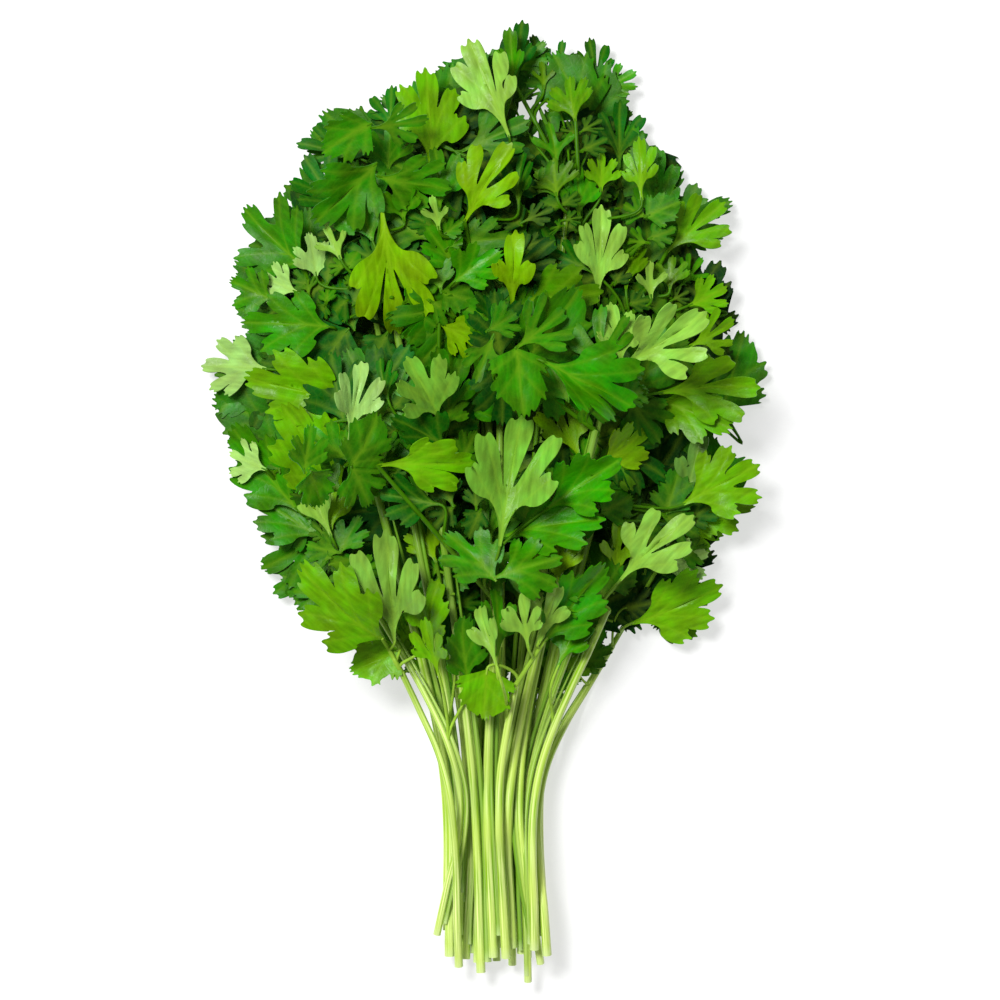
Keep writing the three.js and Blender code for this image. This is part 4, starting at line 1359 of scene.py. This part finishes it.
# %% [markdown]
# ## The finish of the leaflets
# A leaflet is lighter on its veins, mottled between them, and paler and duller underneath. Its skin is waxy,
# so it shines softly, and a fine net of small veins gives it a quilted bump. The tint comes from the corners.
# The fibres, the grain and the net are noise and cells in the leaflet's own flat measures, so they follow its
# surface. The broad mottling is read in Object coordinates, so it differs from leaflet to leaflet.

# %% Helpers that mix a finish
MIDDLE_LOW, MIDDLE_HIGH = 0.3, 0.7


def surface_fact(tree, name):
    """Reads what the surface carries, in a material."""
    return add_node(tree, "ShaderNodeAttribute", attribute_name=name).outputs


def solid_green(red, grass, blue):
    return (*green(red, grass, blue), 1)


def blend(tree, part, a, b):
    return add_node(tree, "ShaderNodeMix", {"Factor": part, 6: a, 7: b}, data_type="RGBA").outputs[2]


def ranged(tree, value, low, high, new_low, new_high):
    inputs = {"Value": value, "From Min": low, "From Max": high, "To Min": new_low, "To Max": new_high}
    return add_node(tree, "ShaderNodeMapRange", inputs).outputs[0]


def spread(tree, noise, new_low, new_high):
    """Noise seldom leaves its middle part, so that part is spread over the new range."""
    return ranged(tree, noise, MIDDLE_LOW, MIDDLE_HIGH, new_low, new_high)


def speckle(tree, place, size, detail=2.0):
    inputs = {"Vector": place, "Scale": 1 / size, "Detail": detail}
    return add_node(tree, "ShaderNodeTexNoise", inputs).outputs[0]


def own_place(tree):
    return add_node(tree, "ShaderNodeTexCoord").outputs["Object"]


def new_finish(name):
    material = bpy.data.materials.new(name)
    material.use_nodes = True
    return material, material.node_tree, material.node_tree.nodes["Principled BSDF"]


def add_relief(tree, shader, height, strength, depth):
    bump = add_node(tree, "ShaderNodeBump", {"Height": height, "Strength": strength, "Distance": depth})
    tree.links.new(bump.outputs[0], shader.inputs["Normal"])


print("noise is spread from its middle,", MIDDLE_LOW, "to", MIDDLE_HIGH)

# %% Mix the leaflet's colour
PALE_VEIN, VEIN_PALENESS = solid_green(160, 196, 40), 0.3
MOTTLED_HUE, MOTTLED_VALUE, FIBRE_VALUE = (0.488, 0.512), (0.74, 1.24), (0.78, 1.22)
VEIN_SHARE, NET_SHARE, MIDRIB_SHARE = 0.3, 0.08, 0.45
TWIG_STREAK, TWIG_VALUE = 3 * MM, (0.82, 1.15)


def leaflet_colour(tree, tint, spots, net, fibres):
    """The upper side's colour: mottled, streaked along the fibres, and paler on the veins."""
    value = sums(tree, "MULTIPLY", spread(tree, spots, *MOTTLED_VALUE), spread(tree, fibres, *FIBRE_VALUE))
    mottled = {"Color": tint, "Hue": spread(tree, spots, *MOTTLED_HUE), "Value": value}
    shade = add_node(tree, "ShaderNodeHueSaturation", mottled).outputs[0]
    veins = sums(tree, "MULTIPLY", surface_fact(tree, "vein")["Fac"], VEIN_SHARE)
    veins = sums(tree, "MULTIPLY_ADD", net, NET_SHARE, veins)
    veins = sums(tree, "MULTIPLY_ADD", surface_fact(tree, "rib")["Fac"], MIDRIB_SHARE, veins)
    return blend(tree, veins, shade, blend(tree, VEIN_PALENESS, tint, PALE_VEIN))


def twig_colour(tree, tint, place):
    streak = spread(tree, speckle(tree, place, TWIG_STREAK), *TWIG_VALUE)
    return add_node(tree, "ShaderNodeHueSaturation", {"Color": tint, "Value": streak}).outputs[0]


print("the midrib is", MIDRIB_SHARE, "of the way to the pale vein, and a side vein", VEIN_SHARE)

# %% Mix the leaflet finish
SPOT_SIZE, GRAIN_SIZE, FIBRE_SIZE = 9 * MM, 1.1 * MM, 1.5 * MM
ALONG_FIBRES = (0.17, 1.0, 1.0)
NET_CELL, NET_LINE, NET_RELIEF = 1.9 * MM, 0.12, -0.5
UNDERSIDE, UNDER_SHARE, UNDER_ROUGHER = solid_green(116, 166, 54), 0.5, 0.16
GRAIN_ROUGHNESS = (0.28, 0.42)
DARK_TINT, PALE_TINT, DARK_ROUGHER = 0.03, 0.14, 0.35
LEAFLET_GLOSS, LEAFLET_RELIEF = 0.11, (0.3, 0.12 * MM)


def leaflet_finish():
    material, tree, shader = new_finish("parsley_leaflet")
    place, flat = own_place(tree), surface_fact(tree, "flat")["Vector"]
    tint = surface_fact(tree, "tint")["Color"]
    under, woody = surface_fact(tree, "under")["Fac"], surface_fact(tree, "woody")["Fac"]
    spots, grain = speckle(tree, place, SPOT_SIZE), speckle(tree, flat, GRAIN_SIZE, 3)
    fibres = speckle(tree, arrows(tree, "MULTIPLY", flat, ALONG_FIBRES), FIBRE_SIZE)
    cells = {"Vector": flat, "Scale": 1 / NET_CELL}
    rims = add_node(tree, "ShaderNodeTexVoronoi", cells, feature="DISTANCE_TO_EDGE").outputs[0]
    net = ranged(tree, rims, 0.0, NET_LINE, 1, 0)
    colour = leaflet_colour(tree, tint, spots, net, fibres)
    dull = blend(tree, sums(tree, "MULTIPLY", under, UNDER_SHARE), colour, UNDERSIDE)
    tree.links.new(blend(tree, woody, dull, twig_colour(tree, tint, place)), shader.inputs["Base Color"])
    lightness = add_node(tree, "ShaderNodeRGBToBW", {0: tint}).outputs[0]
    rougher = ranged(tree, lightness, DARK_TINT, PALE_TINT, DARK_ROUGHER, 0)
    rough = sums(tree, "ADD", spread(tree, grain, *GRAIN_ROUGHNESS), rougher)
    rough = sums(tree, "MULTIPLY_ADD", under, UNDER_ROUGHER, rough)
    tree.links.new(rough, shader.inputs["Roughness"])
    relief = sums(tree, "MULTIPLY_ADD", net, NET_RELIEF, sums(tree, "ADD", grain, fibres))
    add_relief(tree, shader, relief, *LEAFLET_RELIEF)
    shader.inputs["Specular IOR Level"].default_value = LEAFLET_GLOSS
    return material


LEAFLET_FINISH = leaflet_finish()
print("nodes in the leaflet finish:", len(LEAFLET_FINISH.node_tree.nodes))

# %% [markdown]
# ## The finish of the stalks
# A stalk is pale green with yellower and greener streaks along it, shiny with juice, and greener towards the
# leaves. The palest streaks are partly the stalk's own pale green and partly painted highlight. The cut face
# is nearly white-green. Noise that is stretched along the run gives the streaks, and it reads the way round
# from the surface, so they stay on the ribs. Marble or wave patterns would be even, and streaks in a stalk
# are not.

# %% Mix the stalk's colour
# The pale streak colour is partly the stalk's own pale green, partly a painted highlight.
STREAK_DARK, PALE_STREAK_AND_HIGHLIGHT, STREAK_EDGES = solid_green(128, 174, 6), solid_green(232, 244, 160), (0.35, 0.65)
BLOTCH, BLOTCH_SIZE, BLOTCH_EDGES, BLOTCH_SHARE = solid_green(204, 226, 104), 22 * MM, (0.4, 0.7), 0.6
UPPER_GREENS = [(30 * MM, 130 * MM, 0.62, solid_green(138, 188, 22)),
                (85 * MM, 125 * MM, 0.7, solid_green(70, 120, 8))]
LEAFY, LEAFY_SHARE = solid_green(82, 138, 0), 0.8
CUT_FACE, CUT_REACH, CUT_SHARE = solid_green(206, 224, 160), 4 * MM, 0.55


def stalk_colour(tree, place, run, streaks):
    """From streaks and blotches near the cut to greener parts in the pile, and the pale cut face."""
    colour = blend(tree, ranged(tree, streaks, *STREAK_EDGES, 0, 1), STREAK_DARK, PALE_STREAK_AND_HIGHLIGHT)
    blotches = ranged(tree, speckle(tree, place, BLOTCH_SIZE, 1), *BLOTCH_EDGES, 0, BLOTCH_SHARE)
    colour = blend(tree, blotches, colour, BLOTCH)
    for begin, full, share, tone in UPPER_GREENS:
        colour = blend(tree, ranged(tree, run, begin, full, 0, share), colour, tone)
    leafy = sums(tree, "MULTIPLY", surface_fact(tree, "leafy")["Fac"], LEAFY_SHARE)
    colour = blend(tree, leafy, colour, LEAFY)
    return blend(tree, ranged(tree, run, 0.0, CUT_REACH, CUT_SHARE, 0), colour, CUT_FACE)


print("a stalk turns greener from", [round(begin / MM) for begin, *_ in UPPER_GREENS], "mm above the cut")

# %% Mix the stalk finish
RUN_STRETCH, OWN_STRETCH, STREAK_SIZE = 14.0, 9.0, 0.5
STALK_ROUGHNESS = (0.3, 0.46)
STALK_GLOSS, STALK_RELIEF = 0.32, (0.4, 0.2 * MM)


def stalk_finish():
    material, tree, shader = new_finish("parsley_stalk")
    place, run = own_place(tree), surface_fact(tree, "run")["Fac"]
    stretched = {2: sums(tree, "MULTIPLY", run, RUN_STRETCH)}
    along = add_node(tree, "ShaderNodeCombineXYZ", stretched).outputs[0]
    around = arrows(tree, "ADD", surface_fact(tree, "around")["Vector"], along)
    own = arrows(tree, "SCALE", place, scale=OWN_STRETCH)
    streaks = speckle(tree, arrows(tree, "ADD", around, own), STREAK_SIZE, 3)
    tree.links.new(stalk_colour(tree, place, run, streaks), shader.inputs["Base Color"])
    tree.links.new(spread(tree, streaks, *STALK_ROUGHNESS), shader.inputs["Roughness"])
    add_relief(tree, shader, streaks, *STALK_RELIEF)
    shader.inputs["Specular IOR Level"].default_value = STALK_GLOSS
    return material


STALK_FINISH = stalk_finish()
print("nodes in the stalk finish:", len(STALK_FINISH.node_tree.nodes))

# %% [markdown]
# ## Thinner stalks beside the main ones
# A bunch holds more stalks than sprigs that reach the top: thin ones of young leaves run between the thick
# ones. So two thinner, greener stalks start and end beside each main stalk, and dip under the leaves at their
# far end. They are lines in the same mesh, so one run of the tree grows all three. Copies of the main stalk
# would do for the number, but they would run side by side like wires.

# %% Draw the thin stalks
BUNCH_MIDDLE = 2 * MM
MOST_DRIFT = 1.6
BESIDE, FLATTER, LOWER = 1.5, 0.7, 0.4
DIP, DIP_FROM = 5 * MM, 0.75
LOW_END = (0.1, 0.9)


def companion(route, radius):
    """A thinner stalk beside the main one, on the side of the bunch's middle."""
    turn, drift = chance.uniform(0, 2 * math.pi), chance.uniform(-MOST_DRIFT, MOST_DRIFT)
    inward = -1 if route[len(route) // 2].x > BUNCH_MIDDLE else 1
    stop = len(route) - 1
    path = []
    for step in range(stop):
        angle = turn + drift * step / len(route)
        aside = Vector((inward * abs(math.cos(angle)), 0, math.sin(angle) * FLATTER - LOWER))
        place = route[step] + aside * radius * BESIDE
        dip = DIP * max(0, step / stop - DIP_FROM) / (1 - DIP_FROM)
        place.z = max(place.z - dip, LOW.z + radius)
        path.append(place)
    path[0] = path[0].lerp(path[1], chance.uniform(*LOW_END))
    return path


def route_mesh(paths):
    """A mesh with a line for each path, and how thick and how green the stalk is at its points.

    Fading is how many points the end takes to get thin."""
    mesh = bpy.data.meshes.new("route")
    points, edges, size, leafy = [], [], [], []
    for path, thick, fading, greenness in paths:
        edges += [(len(points) + at, len(points) + at + 1) for at in range(len(path) - 1)]
        points += [tuple(point) for point in path]
        size += [thick * min(1, (len(path) - at) / fading) for at in range(len(path))]
        leafy += [greenness] * len(path)
    mesh.from_pydata(points, edges, [])
    for name, values in (("size", size), ("leafy", leafy)):
        mesh.attributes.new(name, "FLOAT", "POINT").data.foreach_set("value", values)
    return mesh


print("a thin stalk lies", BESIDE, "radii from the middle of its main one")

# %% [markdown]
# ## Growing all the sprigs
# Each stalk and each leaf becomes a plain mesh that takes the place of its solid. All of them ride on the one
# body, because nothing in a bunch is jointed. Each stalk takes the stalk finish, and each leaf the leaflet
# finish.

# %% Grow the stalks and the leaves
MAIN_SIZE, THIN_SIZES, THIN_FADING = 0.9, (0.62, 0.5), 4
GREENNESS = (0.4, 1)


def settle(piece, node):
    """Puts a piece in its solid's place, and counts its triangles."""
    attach(piece, "root")
    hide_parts(node)
    piece.data.calc_loop_triangles()
    return len(piece.data.loop_triangles)


def stalk_lines(number):
    """The main stalk and its thin ones, except beside a sprig that forks low in the neck."""
    route, radius = stalks[number]
    thin_sizes = THIN_SIZES if route[-1].y > LOW_FORK else ()
    thin = [(companion(route, radius), size, THIN_FADING, chance.uniform(*GREENNESS)) for size in thin_sizes]
    return route_mesh([(route, MAIN_SIZE, 1, 0), *thin])


counts = []
for number in NUMBERS:
    radius = stalks[number][1]
    stem = grown(f"parsley_stem_{number}", stalk_lines(number), STALK, STALK_FINISH, Radius=radius)
    counts.append(settle(stem, f"stem_{number}"))
    leaf = grown(f"parsley_leaf_{number}", flat_leaves[number], LEAFLETS, LEAFLET_FINISH)
    counts.append(settle(leaf, f"leaf_{number}"))
print("triangles:", sum(counts), "the most in one piece:", max(counts))

# %% [markdown]
# ## Floor, light and camera
# The bunch lies on a plain white floor. A big soft light stands at the upper left, so that a soft grey shadow
# falls to the lower right, and the white surroundings fill the rest. The floor glows a little, as a light
# table does, which keeps it white without washing the shadow out. The camera looks straight down through a
# long lens, so that the pile does not swell towards it.

# %% Lay the floor
FLOOR_REACH = 2.5
FLOOR_GREY, FLOOR_GLOW, FLOOR_SPECKLE = (0.36, 0.38), 0.6, 0.25
SQUARE_CORNERS = [(-1, -1), (1, -1), (1, 1), (-1, 1)]


def floor_finish():
    material, tree, shader = new_finish("pale_floor")
    grey = spread(tree, speckle(tree, own_place(tree), FLOOR_SPECKLE), *FLOOR_GREY)
    colour = add_node(tree, "ShaderNodeCombineXYZ", {0: grey, 1: grey, 2: grey}).outputs[0]
    tree.links.new(colour, shader.inputs["Base Color"])
    settings = {"Emission Color": (1, 1, 1, 1), "Emission Strength": FLOOR_GLOW, "Roughness": 0.8,
                "Specular IOR Level": 0.2}
    for name, value in settings.items():
        shader.inputs[name].default_value = value
    return material


mesh = bpy.data.meshes.new("floor")
mesh.from_pydata([(x * FLOOR_REACH, y * FLOOR_REACH, LOW.z) for x, y in SQUARE_CORNERS], [], [(0, 1, 2, 3)])
mesh.materials.append(floor_finish())
floor = bpy.data.objects.new("floor", mesh)
bpy.context.scene.collection.objects.link(floor)
print("floor:", [round(side, 2) for side in floor.dimensions], "m")

# %% Set the lights
KEY_PLACE, KEY_SIZE, KEY_POWER = Vector((-0.55, 0.55, 1.65)), 0.5, 41
SURROUNDINGS = 0.38
middle = (LOW + HIGH) / 2

light = bpy.data.lights.new("key", "AREA")
light.size, light.energy = KEY_SIZE, KEY_POWER
lamp = bpy.data.objects.new("key", light)
lamp.location = KEY_PLACE
lamp.rotation_euler = (middle - KEY_PLACE).to_track_quat("-Z", "Y").to_euler()
bpy.context.scene.collection.objects.link(lamp)

world = bpy.data.worlds.new("surroundings")
bpy.context.scene.world = world
world.use_nodes = True
background = world.node_tree.nodes["Background"]
background.inputs["Color"].default_value = (1, 1, 1, 1)
background.inputs["Strength"].default_value = SURROUNDINGS
world.cycles_visibility.glossy = False
bpy.context.scene.view_settings.view_transform = "Standard"
print("the key light is", round((middle - KEY_PLACE).length, 2), "m away")

# %% Place the camera
CAMERA_HEIGHT = 2.0
AIM_ASIDE, AIM_UP = 6 * MM, 0.5 * MM
VIEW_MARGIN = 1.044
VIEW_SIDE = (HIGH.y - LOW.y) * VIEW_MARGIN

camera_data = bpy.data.cameras.new("camera")
camera_data.lens = camera_data.sensor_width * CAMERA_HEIGHT / VIEW_SIDE
camera = bpy.data.objects.new("camera", camera_data)
camera.location = (middle.x + AIM_ASIDE, middle.y + AIM_UP, CAMERA_HEIGHT)
bpy.context.scene.collection.objects.link(camera)
bpy.context.scene.camera = camera
print("lens:", round(camera_data.lens), "mm")

# %% Write the sizes and finish
print("solid box:", [[round(part / MM, 1) for part in corner] for corner in cad_box])
